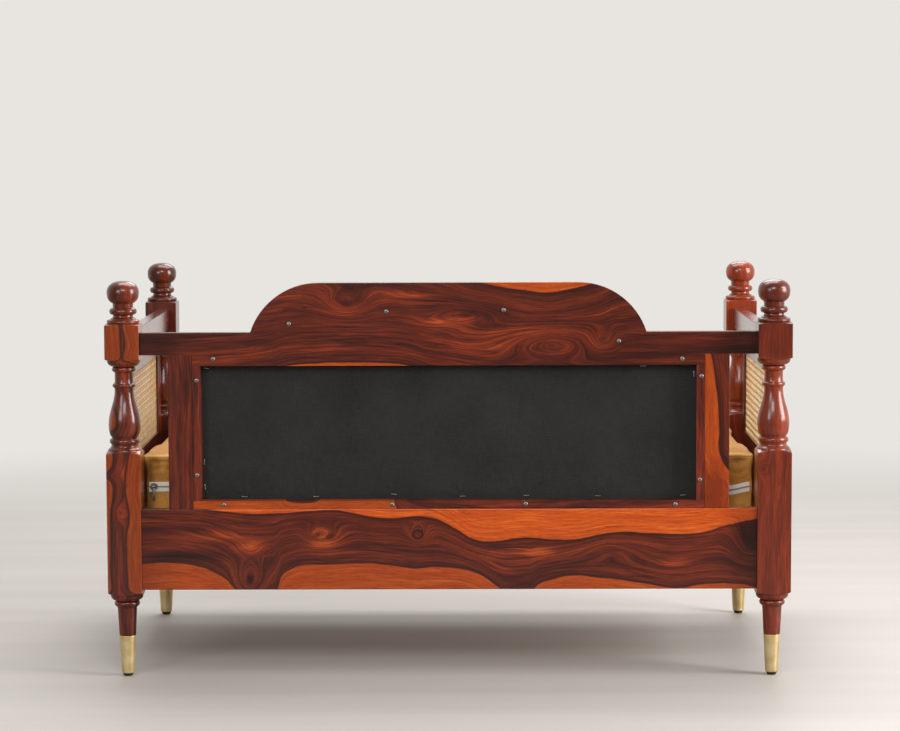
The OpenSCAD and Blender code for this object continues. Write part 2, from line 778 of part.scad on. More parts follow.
post_body(true);  // rear_right_post
left() post_body(true);  // rear_left_post
front() post_body(false);  // front_right_post
front() left() post_body(false);  // front_left_post
ferrule();  // rear_right_ferrule
left() ferrule();  // rear_left_ferrule
front() ferrule();  // front_right_ferrule
front() left() ferrule();  // front_left_ferrule
glide();  // rear_right_glide
left() glide();  // rear_left_glide
front() glide();  // front_right_glide
front() left() glide();  // front_left_glide
long_apron();  // rear_apron
front() long_apron();  // front_apron
side_apron();  // right_apron
left() side_apron();  // left_apron
long_cleat();  // rear_cleat
front() long_cleat();  // front_cleat
corner_block();  // rear_right_corner_block
left() corner_block();  // rear_left_corner_block
front() corner_block();  // front_right_corner_block
front() left() corner_block();  // front_left_corner_block
back_rail();
back_stile();  // back_right_stile
left() back_stile();  // back_left_stile
side_strip([side_screws[0], side_screws[1]]);  // right_beading
left() side_strip([for (i = [2, 3]) [-side_screws[i][0], side_screws[i][1]]]);  // left_beading
bottom_beading();
back_panel();
back_pad();
back_cloth();
back_screws();
arm_rail();  // right_arm_rail
left() arm_rail();  // left_arm_rail
cane_stile();  // right_cane_rear_stile
front() cane_stile();  // right_cane_front_stile
cane_rail(cane_open_top, cane_top_h);  // right_cane_top_rail
cane_rail(apron_top, cane_bottom_h);  // right_cane_bottom_rail
left() cane_stile();  // left_cane_rear_stile
left() front() cane_stile();  // left_cane_front_stile
left() cane_rail(cane_open_top, cane_top_h);  // left_cane_top_rail
left() cane_rail(apron_top, cane_bottom_h);  // left_cane_bottom_rail
cane_sheet();  // right_cane
left() cane_sheet();  // left_cane
cane_beading();  // right_cane_beading
left() cane_beading();  // left_cane_beading
seat_cushion();
zip_tape();
zip_slider();
zip_pull();
for (i = [1:slat_count])
    slat(i);
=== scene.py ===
"""Cane sofa with turned posts, seen from behind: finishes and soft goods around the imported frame.

The frame is in metres, with the sofa facing -Y and its back at +Y. Lengths named _mm are millimetres.
"""
import json
import math

import bmesh
import bpy
import numpy as np
from mathutils import Matrix, Vector

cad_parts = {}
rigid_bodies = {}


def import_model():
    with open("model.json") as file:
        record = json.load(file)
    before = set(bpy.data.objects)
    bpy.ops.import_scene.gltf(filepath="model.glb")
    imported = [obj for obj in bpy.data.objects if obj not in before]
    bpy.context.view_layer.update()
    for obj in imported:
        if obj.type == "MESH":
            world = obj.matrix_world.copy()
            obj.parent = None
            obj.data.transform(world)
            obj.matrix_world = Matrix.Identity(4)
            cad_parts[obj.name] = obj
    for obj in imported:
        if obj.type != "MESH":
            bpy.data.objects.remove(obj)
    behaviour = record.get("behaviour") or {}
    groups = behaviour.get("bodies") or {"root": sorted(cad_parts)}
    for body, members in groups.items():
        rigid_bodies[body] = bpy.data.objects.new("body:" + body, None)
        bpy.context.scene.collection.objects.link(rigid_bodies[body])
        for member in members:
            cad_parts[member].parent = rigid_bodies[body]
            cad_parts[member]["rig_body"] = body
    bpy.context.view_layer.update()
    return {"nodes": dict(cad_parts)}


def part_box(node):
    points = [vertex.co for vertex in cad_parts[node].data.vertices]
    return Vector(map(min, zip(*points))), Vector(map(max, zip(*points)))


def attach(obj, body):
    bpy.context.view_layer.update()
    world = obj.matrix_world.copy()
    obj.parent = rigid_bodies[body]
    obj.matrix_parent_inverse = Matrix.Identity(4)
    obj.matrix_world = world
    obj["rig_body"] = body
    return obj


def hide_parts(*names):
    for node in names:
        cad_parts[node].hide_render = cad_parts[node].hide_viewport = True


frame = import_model()
nodes = frame["nodes"]
MM = 0.001
SIDES = {"left": -1, "right": 1}


def box_mm(node):
    """Lowest and highest corner of a CAD node, in millimetres."""
    low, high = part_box(node)
    return np.array(low) / MM, np.array(high) / MM


def middle_mm(node):
    """Middle of a CAD node's box, in millimetres."""
    low, high = box_mm(node)
    return tuple(float(v) for v in (low + high) / 2)


def read_mm(mesh):
    """A mesh's points in millimetres."""
    points = np.empty(len(mesh.vertices) * 3)
    mesh.vertices.foreach_get("co", points)
    return points.reshape(-1, 3) / MM


def set_all(thing, **values):
    """Sets several properties of one thing, and returns it."""
    for name, value in values.items():
        setattr(thing, name, value)
    return thing


def place_object(name, data):
    """A new object in the scene."""
    made = bpy.data.objects.new(name, data)
    bpy.context.scene.collection.objects.link(made)
    return made


def srgb(red, green, blue):
    """A colour written as on a screen, 0 to 255, as the linear values that shaders take."""
    parts = np.array([red, green, blue]) / 255
    linear = np.where(parts <= 0.04045, parts / 12.92, ((parts + 0.055) / 1.055) ** 2.4)
    return (*[float(v) for v in linear], 1.0)


# Camera and lamps

def place_camera():
    """The photograph's view: from behind the sofa, a little to its left and above it, through a long lens."""
    yaw, pitch, roll = 0.0086, 0.0917, -0.0037
    level = Vector((math.sin(yaw), -math.cos(yaw), 0))
    side = Vector((-math.cos(yaw), -math.sin(yaw), 0))
    upright = Vector((0, 0, 1))
    ahead = math.cos(pitch) * level - math.sin(pitch) * upright
    above = math.sin(pitch) * level + math.cos(pitch) * upright
    turn = Matrix((side + roll * above, above - roll * side, -ahead)).transposed().to_4x4()
    lens = bpy.data.cameras.new("photo_camera")
    set_all(lens, lens=106.38, sensor_width=36, sensor_fit="HORIZONTAL")
    camera = place_object("photo_camera", lens)
    camera.matrix_world = Matrix.Translation((-0.047, 5.4348, 1.0754)) @ turn
    bpy.context.scene.camera = camera


def softbox(name, place, size, power, aim=(0, 0.1, 0.45)):
    """A rectangular lamp at place that faces aim."""
    lamp = bpy.data.lights.new(name, "AREA")
    set_all(lamp, shape="RECTANGLE", size=size[0], size_y=size[1], energy=power)
    turn = (Vector(aim) - Vector(place)).to_track_quat("-Z", "Y").to_matrix().to_4x4()
    place_object(name, lamp).matrix_world = Matrix.Translation(place) @ turn


# Shader trees

def operator(kind, swapped=False):
    """A method that places a math node of that kind on two values."""
    def place(self, other):
        return self.tree.calc(kind, other, self) if swapped else self.tree.calc(kind, self, other)
    return place


class Value:
    """What comes out of a socket. Python's operators on it place math nodes."""

    def __init__(self, tree, socket):
        self.tree = tree
        self.socket = socket

    def __abs__(self):
        return self.tree.calc("ABSOLUTE", self)

    __add__, __radd__ = operator("ADD"), operator("ADD", swapped=True)
    __sub__, __rsub__ = operator("SUBTRACT"), operator("SUBTRACT", swapped=True)
    __mul__, __rmul__ = operator("MULTIPLY"), operator("MULTIPLY", swapped=True)
    __truediv__ = operator("DIVIDE")
    __pow__ = operator("POWER")


class Tree:
    """Short calls that place nodes in one shader tree. end is the node that takes the results."""

    def __init__(self, tree, end=None):
        self.tree = tree
        self.end = end

    def add(self, kind, sockets=None, **settings):
        node = set_all(self.tree.nodes.new(kind), **settings)
        for key, value in (sockets or {}).items():
            self.feed(node.inputs[key], value)
        return node

    def feed(self, socket, value):
        if isinstance(value, Value):
            self.tree.links.new(value.socket, socket)
        else:
            socket.default_value = value

    def give(self, label, value):
        self.feed(self.end.inputs[label], value)

    def out(self, key, kind, sockets=None, **settings):
        return Value(self, self.add(kind, sockets, **settings).outputs[key])

    def outputs(self, node):
        return {socket.name: Value(self, socket) for socket in node.outputs}

    def calc(self, operation, *values):
        return self.out(0, "ShaderNodeMath", dict(enumerate(values)), operation=operation)

    def vector(self, operation, *values):
        key = "Value" if operation == "LENGTH" else "Vector"
        return self.out(key, "ShaderNodeVectorMath", dict(enumerate(values)), operation=operation)

    def join(self, x, y, z):
        return self.out(0, "ShaderNodeCombineXYZ", {0: x, 1: y, 2: z})

    def split(self, vector):
        return list(self.outputs(self.add("ShaderNodeSeparateXYZ", {0: vector})).values())

    def attribute(self, name):
        return self.out("Fac", "ShaderNodeAttribute", attribute_name=name)

    def noise(self, vector, detail, *scale):
        """Smooth noise from about 0.2 to 0.8. scale is left out, or has three numbers that stretch it."""
        if scale:
            vector = self.vector("MULTIPLY", vector, scale)
        return self.out("Fac", "ShaderNodeTexNoise", {"Vector": vector, "Scale": 1.0, "Detail": detail})

    def bell(self, away):
        """1 where away is 0, falling as it grows."""
        return self.calc("EXPONENT", away ** 2 * -1)

    def spread(self, value, low, high, to_low=0.0, to_high=1.0, smooth=False):
        """value carried from one range to another, and held at its ends."""
        ends = {"Value": value, "From Min": low, "From Max": high, "To Min": to_low, "To Max": to_high}
        kind = "SMOOTHSTEP" if smooth else "LINEAR"
        return self.out(0, "ShaderNodeMapRange", ends, interpolation_type=kind)

    def ramp(self, value, *stops):
        """A colour between stops, which are (place, colour)."""
        node = self.add("ShaderNodeValToRGB", {0: value})
        points = node.color_ramp.elements
        while len(points) < len(stops):
            points.new(0.5)
        for point, (place, colour) in zip(points, stops):
            set_all(point, position=place, color=colour)
        return Value(self, node.outputs[0])

    def mix(self, share, first, second, blend="MIX"):
        sockets = {0: share, 6: first, 7: second}
        return self.out(2, "ShaderNodeMix", sockets, data_type="RGBA", blend_type=blend)

    def dimmed(self, colour, share):
        return self.mix(1.0, colour, self.join(share, share, share), "MULTIPLY")

    def shaders(self, share, first, second):
        return self.out(0, "ShaderNodeMixShader", {0: share, 1: first, 2: second})

    def axes_mm(self, centre=(0, 0, 0), along="x"):
        """Millimetres from centre, turned so that the first coordinate runs along the grain or strand."""
        ours = self.vector("MULTIPLY", self.out("Object", "ShaderNodeTexCoord"), (1000, 1000, 1000))
        x, y, z = self.split(self.vector("SUBTRACT", ours, centre))
        return {"x": (x, y, z), "y": (y, x, z), "z": (z, x, y)}[along]

    def place_mm(self, centre=(0, 0, 0), along="x"):
        """The same as one vector."""
        return self.join(*self.axes_mm(centre, along))

    def placed(self, made, *values):
        """A node group with its inputs set, in their order. Returns its outputs by name."""
        return self.outputs(self.add("ShaderNodeGroup", dict(enumerate(values)), node_tree=made))

    def bump(self, height, distance_mm, strength):
        """Feeds height, 0 to 1, to the shader's normal as a relief of that depth."""
        sockets = {"Height": height, "Distance": distance_mm * MM, "Strength": strength}
        self.give("Normal", self.out(0, "ShaderNodeBump", sockets))


SOCKET_KINDS = {1: "NodeSocketFloat", 3: "NodeSocketVector", 4: "NodeSocketColor"}


def group(name, inputs, outputs):
    """A new node group, its tree and what comes in. Sockets are {label: how many numbers it holds}."""
    made = bpy.data.node_groups.new(name, "ShaderNodeTree")
    for way, sockets in (("INPUT", inputs), ("OUTPUT", outputs)):
        for label, size in sockets.items():
            made.interface.new_socket(label, in_out=way, socket_type=SOCKET_KINDS[size])
    t = Tree(made, made.nodes.new("NodeGroupOutput"))
    return made, t, t.outputs(made.nodes.new("NodeGroupInput"))


def material(name, **fixed):
    """A new material and its tree. fixed holds the shader's plain values."""
    made = bpy.data.materials.new(name)
    made.use_nodes = True
    t = Tree(made.node_tree, made.node_tree.nodes["Principled BSDF"])
    for label, value in fixed.items():
        t.give(label.replace("_", " "), value)
    return made, t


def mottled(name, per_mm, dark, pale, rough, detail=3, relief_mm=0.0, **fixed):
    """Soft patches in two colours. rough is one roughness, or that of the dark and of the pale patches."""
    made, t = material(name, **fixed)
    patches = t.noise(t.place_mm(), detail, per_mm, per_mm, per_mm)
    t.give("Base Color", t.mix(patches, dark, pale))
    t.give("Roughness", t.spread(patches, 0.3, 0.7, *rough) if isinstance(rough, tuple) else rough)
    if relief_mm:
        t.bump(patches, relief_mm, 0.5)
    return made


# Sheesham

def sheesham_group():
    """Lacquered sheesham. Flow, in mm, is constant along a growth line, and Heart is above 0 in heartwood.
    Core darkens, Glow lightens, Shade and Sap dim the two woods, and Calm evens out the streaks."""
    inputs = {"Position": 3, **dict.fromkeys(("Flow", "Heart", "Core", "Glow", "Shade", "Sap", "Calm"), 1)}
    made, t, start = group("sheesham", inputs, {"Color": 4, "Rough": 1, "Height": 1})
    position, glow, calm, depth = (start[label] for label in ("Position", "Glow", "Calm", "Heart"))
    along = t.split(position)[0]
    flow = start["Flow"] + t.spread(t.noise(position, 3, 0.011, 0.05, 0.05), 0, 1, -3.5, 3.5)

    def lines(per_mm, stretch, place, detail):
        return t.noise(t.join(flow * per_mm, along * stretch, place), detail)

    broad = lines(0.045, 0.0025, 7.3, 2)
    narrow = lines(0.2, 0.0045, 1.7, 3)
    dashes = lines(0.42, 0.017, 9.2, 3)
    fine = lines(0.95, 0.02, 4.1, 2)
    fibre = t.noise(position, 3, 0.025, 1.0, 1.0)
    cloud = t.noise(position, 2, 0.008, 0.02, 0.02)
    vein = t.bell(abs((lines(0.1, 0.0035, 15.7, 2) - 0.5) / 0.045))
    vein = vein * (t.spread(cloud, 0.4, 0.6, 0.2, 0.62) * (1.0 - calm))
    tone = broad * 0.4 + narrow * 0.4 + dashes * 0.42 + fine * 0.22 + fibre * 0.14 + cloud * 0.22 + glow * 0.3
    even = 0.52 + (fine - 0.5) * 0.5 + glow * 0.5
    heart = t.ramp(t.spread(tone, 0.62, 1.2) * (1.0 - calm) + even * calm,
                   (0.0, srgb(36, 13, 10)), (0.26, srgb(66, 23, 14)), (0.5, srgb(98, 35, 18)),
                   (0.74, srgb(132, 49, 20)), (1.0, srgb(184, 80, 30)))
    heart = t.dimmed(t.mix(vein, heart, srgb(44, 16, 11)), start["Shade"])
    sap_tone = narrow * 0.35 + dashes * 0.25 + fibre * 0.3 + fine * 0.2 + glow * 0.2
    sap = t.ramp(t.spread(sap_tone, 0.36, 0.74),
                 (0.0, srgb(142, 50, 11)), (0.5, srgb(188, 75, 16)), (1.0, srgb(224, 112, 36)))
    inside = t.spread(depth, -0.8, 1.2, smooth=True)
    colour = t.mix(inside, t.dimmed(sap, start["Sap"]), heart)
    colour = t.mix(t.bell(abs((depth - 2.0) / 2.2)) * 0.7, colour, srgb(42, 17, 12))
    colour = t.mix(t.spread(depth, 12, 1, 0, 0.35) * inside, colour, srgb(56, 22, 15))
    colour = t.mix(start["Core"], colour, srgb(34, 13, 10))
    pores = t.spread(t.noise(position, 1, 0.06, 1.3, 1.3), 0.6, 0.7)
    t.give("Color", t.mix(pores * 0.45, colour, srgb(34, 14, 10)))
    t.give("Rough", t.spread(fibre, 0.3, 0.7, 0.3, 0.42))
    t.give("Height", fibre * 0.4 - pores * 0.6)
    return made


def log_group():
    """Rings of a log round a wandering pith. Flow is the distance from the pith, and Heart how far beyond the
    heartwood's uneven edge lies."""
    inputs = {"Position": 3, **dict.fromkeys(("Pith Y", "Pith Z", "Heart Radius", "Wander", "Seed"), 1)}
    made, t, start = group("log", inputs, {"Flow": 1, "Heart": 1})
    x, y, z = t.split(start["Position"])
    seeded = t.join(x * 0.0032 + start["Seed"], y * 0.004, z * 0.004)
    drift = t.noise(seeded, 1)
    lift = t.noise(t.vector("ADD", seeded, (0.0, 11.0, 5.0)), 1)
    across = y + (drift - 0.5) * start["Wander"] * 4 - start["Pith Y"]
    high = z + (lift - 0.5) * start["Wander"] * 4 - start["Pith Z"]
    radius = t.vector("LENGTH", t.join(0.0, across, high))
    edge = t.spread(t.noise(start["Position"], 2, 0.012, 0.012, 0.012), 0, 1, -9, 9)
    t.give("Flow", radius)
    t.give("Heart", start["Heart Radius"] - radius + edge)
    return made


def knot_group():
    """How near a point lies to a knot: 1 at its centre, falling as a bell of width Reach each way."""
    made, t, start = group("knot", {"Position": 3, "Centre": 3, "Reach": 3}, {"Near": 1})
    away = t.vector("DIVIDE", t.vector("SUBTRACT", start["Position"], start["Centre"]), start["Reach"])
    t.give("Near", t.bell(t.vector("LENGTH", away)))
    return made


STOCK_MM, POST_HALF_MM = 66.0, 33.0
SHEESHAM = sheesham_group()
LOG = log_group()
KNOT = knot_group()


def knot(centre, reach, push, core, glow, ring=False):
    """How wide a knot is each way, how far it pushes the growth lines, its dark core and its pale halo. A
    ring knot is dark round its rim."""
    return centre, reach, push, core, glow, ring


def knots_at(t, position, knots):
    """Adds up the knots' push on the growth lines, their dark cores and their pale halos."""
    rows = []
    for centre, reach, push, core, glow, ring in knots:
        near = t.placed(KNOT, position, centre, reach)["Near"]
        if ring:
            dark = t.spread(near, 0.66, 0.75, 0, core) * t.spread(near, 0.91, 0.83, 0.2)
        else:
            dark = t.spread(near, 0.84, 0.97, 0, core, smooth=True)
        rows.append((near * push, dark, near * glow))
    return [sum(column[1:], column[0]) for column in zip(*rows)]


def lacquered(node, along, figure, knots=(), shade=1.0, sap=1.0, tint=0.0, calm=0.0, coat=0.7, ends=None,
              centre=None):
    """A sheesham material for a CAD node. figure(t, position, push) gives its growth lines and heartwood.
    shade, and sap for the sapwood, are one brightness, or change along the board and up it: (place, share,
    place, share). ends dims the board towards its ends: (distance, distance, share left)."""
    made, t = material(node + "_sheesham", Coat_Weight=coat, Coat_Roughness=0.17, Specular_IOR_Level=0.2)
    position = t.place_mm(centre or middle_mm(node), along)
    push, core, glow = knots_at(t, position, knots) if knots else (0.0, 0.0, 0.0)
    flow, heart = figure(t, position, push)

    def graded(share, axis):
        if not isinstance(share, tuple):
            return share
        first, at_first, last, at_last = share
        return t.spread(t.split(position)[axis], first, last, at_first, at_last, smooth=True)

    shade, sap = graded(shade, 0), graded(sap, 2)
    if ends:
        near, far, least = ends
        left = t.spread(abs(t.split(position)[0]), near, far, 1.0, least, smooth=True)
        shade, sap = shade * left, sap * left
    wood = t.placed(SHEESHAM, position, flow, heart, core, t.calc("ADD", glow, tint), shade, sap, calm)
    t.give("Base Color", wood["Color"])
    t.give("Roughness", wood["Rough"])
    t.bump(wood["Height"], 0.08, 0.6)
    return made


def from_log(pith, radius, wander, seed):
    """The figure of a board sawn from a log whose pith lies at (y, z) from the board's middle."""
    def figure(t, position, push):
        rings = t.placed(LOG, position, *pith, radius, wander, seed)
        return rings["Flow"] + push, rings["Heart"]
    return figure


def curve_mm(t, across, length, points):
    """A smooth curve through (distance, height) points in millimetres, read at the distance across."""
    low, reach = -60.0, 320.0  # The node's curve runs from 0 to 1, so heights are shares of this range
    node = t.add("ShaderNodeFloatCurve", {"Value": across / length})
    line = node.mapping.curves[0].points
    line[0].location = (0, (points[0][1] - low) / reach)
    line[1].location = (1, (points[-1][1] - low) / reach)
    for distance, height in points[1:-1]:
        line.new(distance / length, (height - low) / reach)
    node.mapping.update()
    return Value(t, node.outputs[0]) * reach + low


def banded(start, base, length, upper, lower, span=110.0, sideways=False, lean=0.0):
    """Heartwood between two wavy edges, which the growth lines follow. Distances run from the board's +X end
    at start, heights from its lower edge at base. Sideways is for an upright piece, with distances down from
    its top and heights to the right across it. Lean slants the bands from a post's rear face to its front."""
    def figure(t, position, push):
        x, y, z = t.split(position)
        across = start - x
        height = (y * -1 if sideways else z) - base
        if lean:
            height = height + (POST_HALF_MM - z) * lean
        top, bottom = [curve_mm(t, across, length, edge) for edge in (upper, lower)]
        over, under = top - height, height - bottom
        inside = t.spread(under / t.calc("MAXIMUM", top - bottom, 5.0), 0, 1) * span
        beyond = t.calc("MAXIMUM", over * -1, 0.0) - t.calc("MAXIMUM", under * -1, 0.0)
        rough = t.spread(t.noise(position, 3, 0.02, 0.02, 0.06), 0, 1, -2.5, 2.5)
        return inside + beyond + push, t.calc("MINIMUM", over, under) + rough
    return figure


# Shapes

def grid_faces(rows, columns, wrap=True):
    """Quads between neighbouring rows of points, and from the last column round to the first if they wrap."""
    row = np.arange(rows - 1)[:, None] * columns
    column = np.arange(columns if wrap else columns - 1)[None, :]
    after = (column + 1) % columns
    corners = np.broadcast_arrays(row + column, row + after, row + columns + after, row + columns + column)
    return np.stack(corners, -1).reshape(-1, 4)


def fan(ring, middle):
    """Triangles from each edge of a ring of point numbers to a middle point."""
    return np.column_stack([ring, np.roll(ring, -1), np.full(len(ring), middle)])


def spindle(rings, first, last):
    """Points and faces of rings of points, closed at both ends by a fan to a point."""
    count, around = rings.shape[:2]
    end = count * around
    caps = fan(np.arange(around), end), fan(np.arange(end - around, end), end + 1)
    return np.vstack([rings.reshape(-1, 3), [first, last]]), [grid_faces(count, around), *caps]


def tube(rings):
    """Points and faces of rings of points, with a flat cap at both ends."""
    count, around = rings.shape[:2]
    cap = np.arange(around)[None, :]
    return rings.reshape(-1, 3), [grid_faces(count, around), cap, cap[:, ::-1] + around * (count - 1)]


def joined(shapes):
    """Several shapes, each with its points and faces, as one."""
    blocks, faces, start = [], [], 0
    for points, parts in shapes:
        blocks.append(points)
        faces += [part + start for part in parts]
        start += len(points)
    return np.vstack(blocks), faces


def finished(name, mesh, finish, body, replaces, smooth_deg):
    """An object that wears a finish, rides on a body and stands in for a CAD node."""
    mesh.materials.clear()
    mesh.materials.append(finish)
    mesh.shade_smooth()
    if smooth_deg:
        mesh.set_sharp_from_angle(angle=math.radians(smooth_deg))
    piece = place_object(name, mesh)
    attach(piece, body)
    if replaces:
        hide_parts(replaces)
    return piece


def make_piece(name, shape, finish, replaces=None, smooth_deg=40, body="frame"):
    """A closed shape, given as points in millimetres and blocks of faces, with its faces turned outwards."""
    points, blocks = shape
    faces = [face for block in blocks for face in np.asarray(block).tolist()]
    mesh = bpy.data.meshes.new(name)
    mesh.from_pydata((points * MM).tolist(), [], faces)
    shape = bmesh.new()
    shape.from_mesh(mesh)
    bmesh.ops.recalc_face_normals(shape, faces=shape.faces)
    shape.to_mesh(mesh)
    shape.free()
    return finished(name, mesh, finish, body, replaces, smooth_deg)


def dressed(name, finish, ease_mm=0.9):
    """A node's replacement: its copy with merged points, flat faces joined up and eased edges."""
    mesh = nodes[name].data.copy()
    shape = bmesh.new()
    shape.from_mesh(mesh)
    bmesh.ops.remove_doubles(shape, verts=shape.verts, dist=0.00002)
    bmesh.ops.dissolve_limit(shape, angle_limit=math.radians(0.4), verts=shape.verts, edges=shape.edges)
    shape.to_mesh(mesh)
    shape.free()
    piece = finished(name + "_finished", mesh, finish, nodes[name]["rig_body"], name, 35)
    if ease_mm:
        bevel = piece.modifiers.new("eased_edges", "BEVEL")
        set_all(bevel, width=ease_mm * MM, segments=2, limit_method="ANGLE", angle_limit=math.radians(40),
                use_clamp_overlap=True, harden_normals=True)


def painted(name, finish):
    """A CAD node that keeps its shape and gets a finish."""
    mesh = nodes[name].data
    mesh.materials.clear()
    mesh.materials.append(finish)


def mark(piece, label, values):
    """A number on every point of a piece, which its finish reads."""
    layer = piece.data.attributes.new(label, "FLOAT", "POINT")
    layer.data.foreach_set("value", values.astype(np.float32))


def turned_rings(centre, radius, height, turn):
    """Rings round an upright axis: radius, with a row for each height, times the turn's cosine and sine."""
    x, y = centre[0] + radius * np.cos(turn), centre[1] + radius * np.sin(turn)
    return np.stack([x, y, np.broadcast_to(height[:, None], x.shape)], -1)


def lathe(node, suffix, profile, axis, finish, columns):
    """A node's replacement: a profile of (radius, height) points turned round an upright axis at (x, y)."""
    x, y = axis
    turn = np.linspace(0, 2 * np.pi, columns, endpoint=False)
    radius, height = np.vstack(profile).T
    rings = turned_rings((x, y), radius[:, None], height, turn)
    make_piece(node + suffix, spindle(rings, [x, y, height[0]], [x, y, height[-1]]), finish, node)


def arc(r, z, rr, rz, start, end, steps):
    """An elliptic arc about (r, z): half axes rr and rz times the cosine and sine of angles in degrees."""
    angle = np.radians(np.linspace(start, end, steps + 1))
    return np.column_stack([r + rr * np.cos(angle), z + rz * np.sin(angle)])


def sweep(r0, z0, r1, z1, steps):
    """A curve that leaves and meets its two ends upright: half a cosine wave in radius."""
    t = np.linspace(0, 1, steps + 1)
    return np.column_stack([r0 + (r1 - r0) * (1 - np.cos(np.pi * t)) / 2, z0 + (z1 - z0) * t])


def bead(r_in, r_out, z, height):
    """A half-round bead standing on the radius r_in."""
    return arc(r_in, z, r_out - r_in, height / 2, -90, 90, 14)


def straight(first, last, steps=1):
    """Evenly spaced points on the line between two points."""
    return np.linspace(first, last, steps + 1)


# The posts, turned from square stock

CORNER_EASE_MM, POST_MIDDLE_MM = 1.6, 385.0
LEG_MM, LOWER_TOP_MM, UPPER_BOTTOM_MM, UPPER_TOP_MM = 168.0, 437.0, 622.0, 687.0
BALL_BASE_MM, BALL_MM = 724.0, 47.0
FERRULE_TOP_MM, FERRULE_RIM_MM = 80.2, 15.8


def turned(cut):
    """Radius left by a cut of that depth into the square stock."""
    return POST_HALF_MM - cut


def post_profile():
    """Radius and height of the turning, up the post. Beyond the stock's corners the block stays square."""
    corner = STOCK_MM / math.sqrt(2) + 2
    leg, low, high, top = LEG_MM, LOWER_TOP_MM, UPPER_BOTTOM_MM, UPPER_TOP_MM
    return np.vstack([
        [[0.01, 8.2], [11.1, 8.2]],
        straight([14.7, FERRULE_TOP_MM], [FERRULE_RIM_MM, FERRULE_TOP_MM]),
        straight([turned(16.6), FERRULE_TOP_MM + 6], [turned(14.2), leg - 33], 4),
        [[turned(12), leg - 30]],
        bead(turned(12), turned(8.3), leg - 24.5, 10),
        [[turned(10.4), leg - 18.6]],
        arc(turned(10.4), leg - 8.5, 9, 9.5, -90, 0, 10),
        straight([turned(1), leg - 7], [corner, leg], 12),
        straight([corner, leg + 4], [corner, low - 1], 3),
        straight([corner, low], [turned(0), low + 6], 12),
        sweep(turned(0), low + 6, turned(6.9), low + 15, 8)[1:],
        [[turned(6.9), low + 18.5]],
        bead(turned(6.9), turned(3.6), low + 24, 10),
        [[turned(8.3), low + 30], [turned(7.6), low + 32.5]],
        arc(turned(7.6), low + 57, 5.6, 24, -80, 0, 12),
        sweep(turned(2), low + 57, turned(14.6), high - 62, 16)[1:],
        [[turned(14), high - 57.5]],
        bead(turned(14), turned(10.5), high - 53, 8),
        straight([turned(15), high - 46], [turned(15), high - 28], 2),
        [[turned(13.5), high - 26.5]],
        bead(turned(13), turned(9.8), high - 21.5, 9),
        [[turned(12), high - 16]],
        arc(turned(13), high - 5, 12.5, 11, -80, -10, 10),
        straight([turned(0), high - 4], [corner, high], 10),
        straight([corner, high + 2], [corner, top - 2], 2),
        straight([corner, top - 1], [turned(0.5), top + 2], 10),
        arc(turned(5), top + 5.5, 4, 4, -50, 90, 10),
        [[turned(8), top + 10]],
        sweep(turned(8), top + 10, turned(13.6), top + 15.5, 6)[1:],
        [[turned(13.6), top + 18.5]],
        bead(turned(12), turned(6.5), top + 25.5, 12.5),
        [[turned(13.4), top + 33], [turned(13.3), BALL_BASE_MM]],
        full_ball(turned(1.9), BALL_BASE_MM + BALL_MM / 2, BALL_MM / 2),
    ])


def full_ball(reach, middle, half):
    """The flattened ball on top, from its neck to its crown: an ellipse that is made a little fuller by
    raising its cosine and sine to a power below 1."""
    angle = np.radians(np.linspace(-54, 89.7, 34))
    across, up = np.cos(angle), np.sin(angle)
    return np.column_stack([reach * across ** 0.84, middle + half * np.sign(up) * np.abs(up) ** 0.84])


def stock_radius(turn):
    """How far the square stock reaches in each direction: half its width over the larger of cosine and sine,
    and at a corner the far side of the circle that rounds it."""
    u = np.maximum(np.abs(np.cos(turn)), np.abs(np.sin(turn)))
    v = np.minimum(np.abs(np.cos(turn)), np.abs(np.sin(turn)))
    on_face = POST_HALF_MM / u
    flat = POST_HALF_MM - CORNER_EASE_MM
    reach = flat * (u + v)
    on_corner = reach + np.sqrt(np.maximum(CORNER_EASE_MM ** 2 - (2 * flat ** 2 - reach ** 2), 0))
    return np.where(on_face * v <= flat, on_face, on_corner)


def make_post(name, finish):
    """The smaller of the turned radius and the stock's, at each height and in each direction, softly joined:
    half their sum less half the root of their squared difference and a small square."""
    x, y, _ = middle_mm(name)
    edge = math.atan((POST_HALF_MM - CORNER_EASE_MM) / POST_HALF_MM)
    eighth = np.concatenate([np.linspace(0, edge, 10)[:-1], np.linspace(edge, math.pi / 4, 4)])
    quarter = np.concatenate([eighth, (math.pi / 2 - eighth[::-1])[1:-1]])
    turn = np.concatenate([quarter + k * math.pi / 2 for k in range(4)])
    stock = stock_radius(turn)[None, :]
    profile, height = post_profile().T
    lathed, soft = profile[:, None], 0.7
    radius = (lathed + stock - np.sqrt((lathed - stock) ** 2 + soft ** 2)) / 2 + soft ** 2 / 60
    rings = turned_rings((x, y), np.maximum(radius, 0.005), height, turn)
    shape = spindle(rings, [x, y, height[0]], [x, y, BALL_BASE_MM + BALL_MM])
    make_piece(name + "_turned", shape, finish, name, 32)


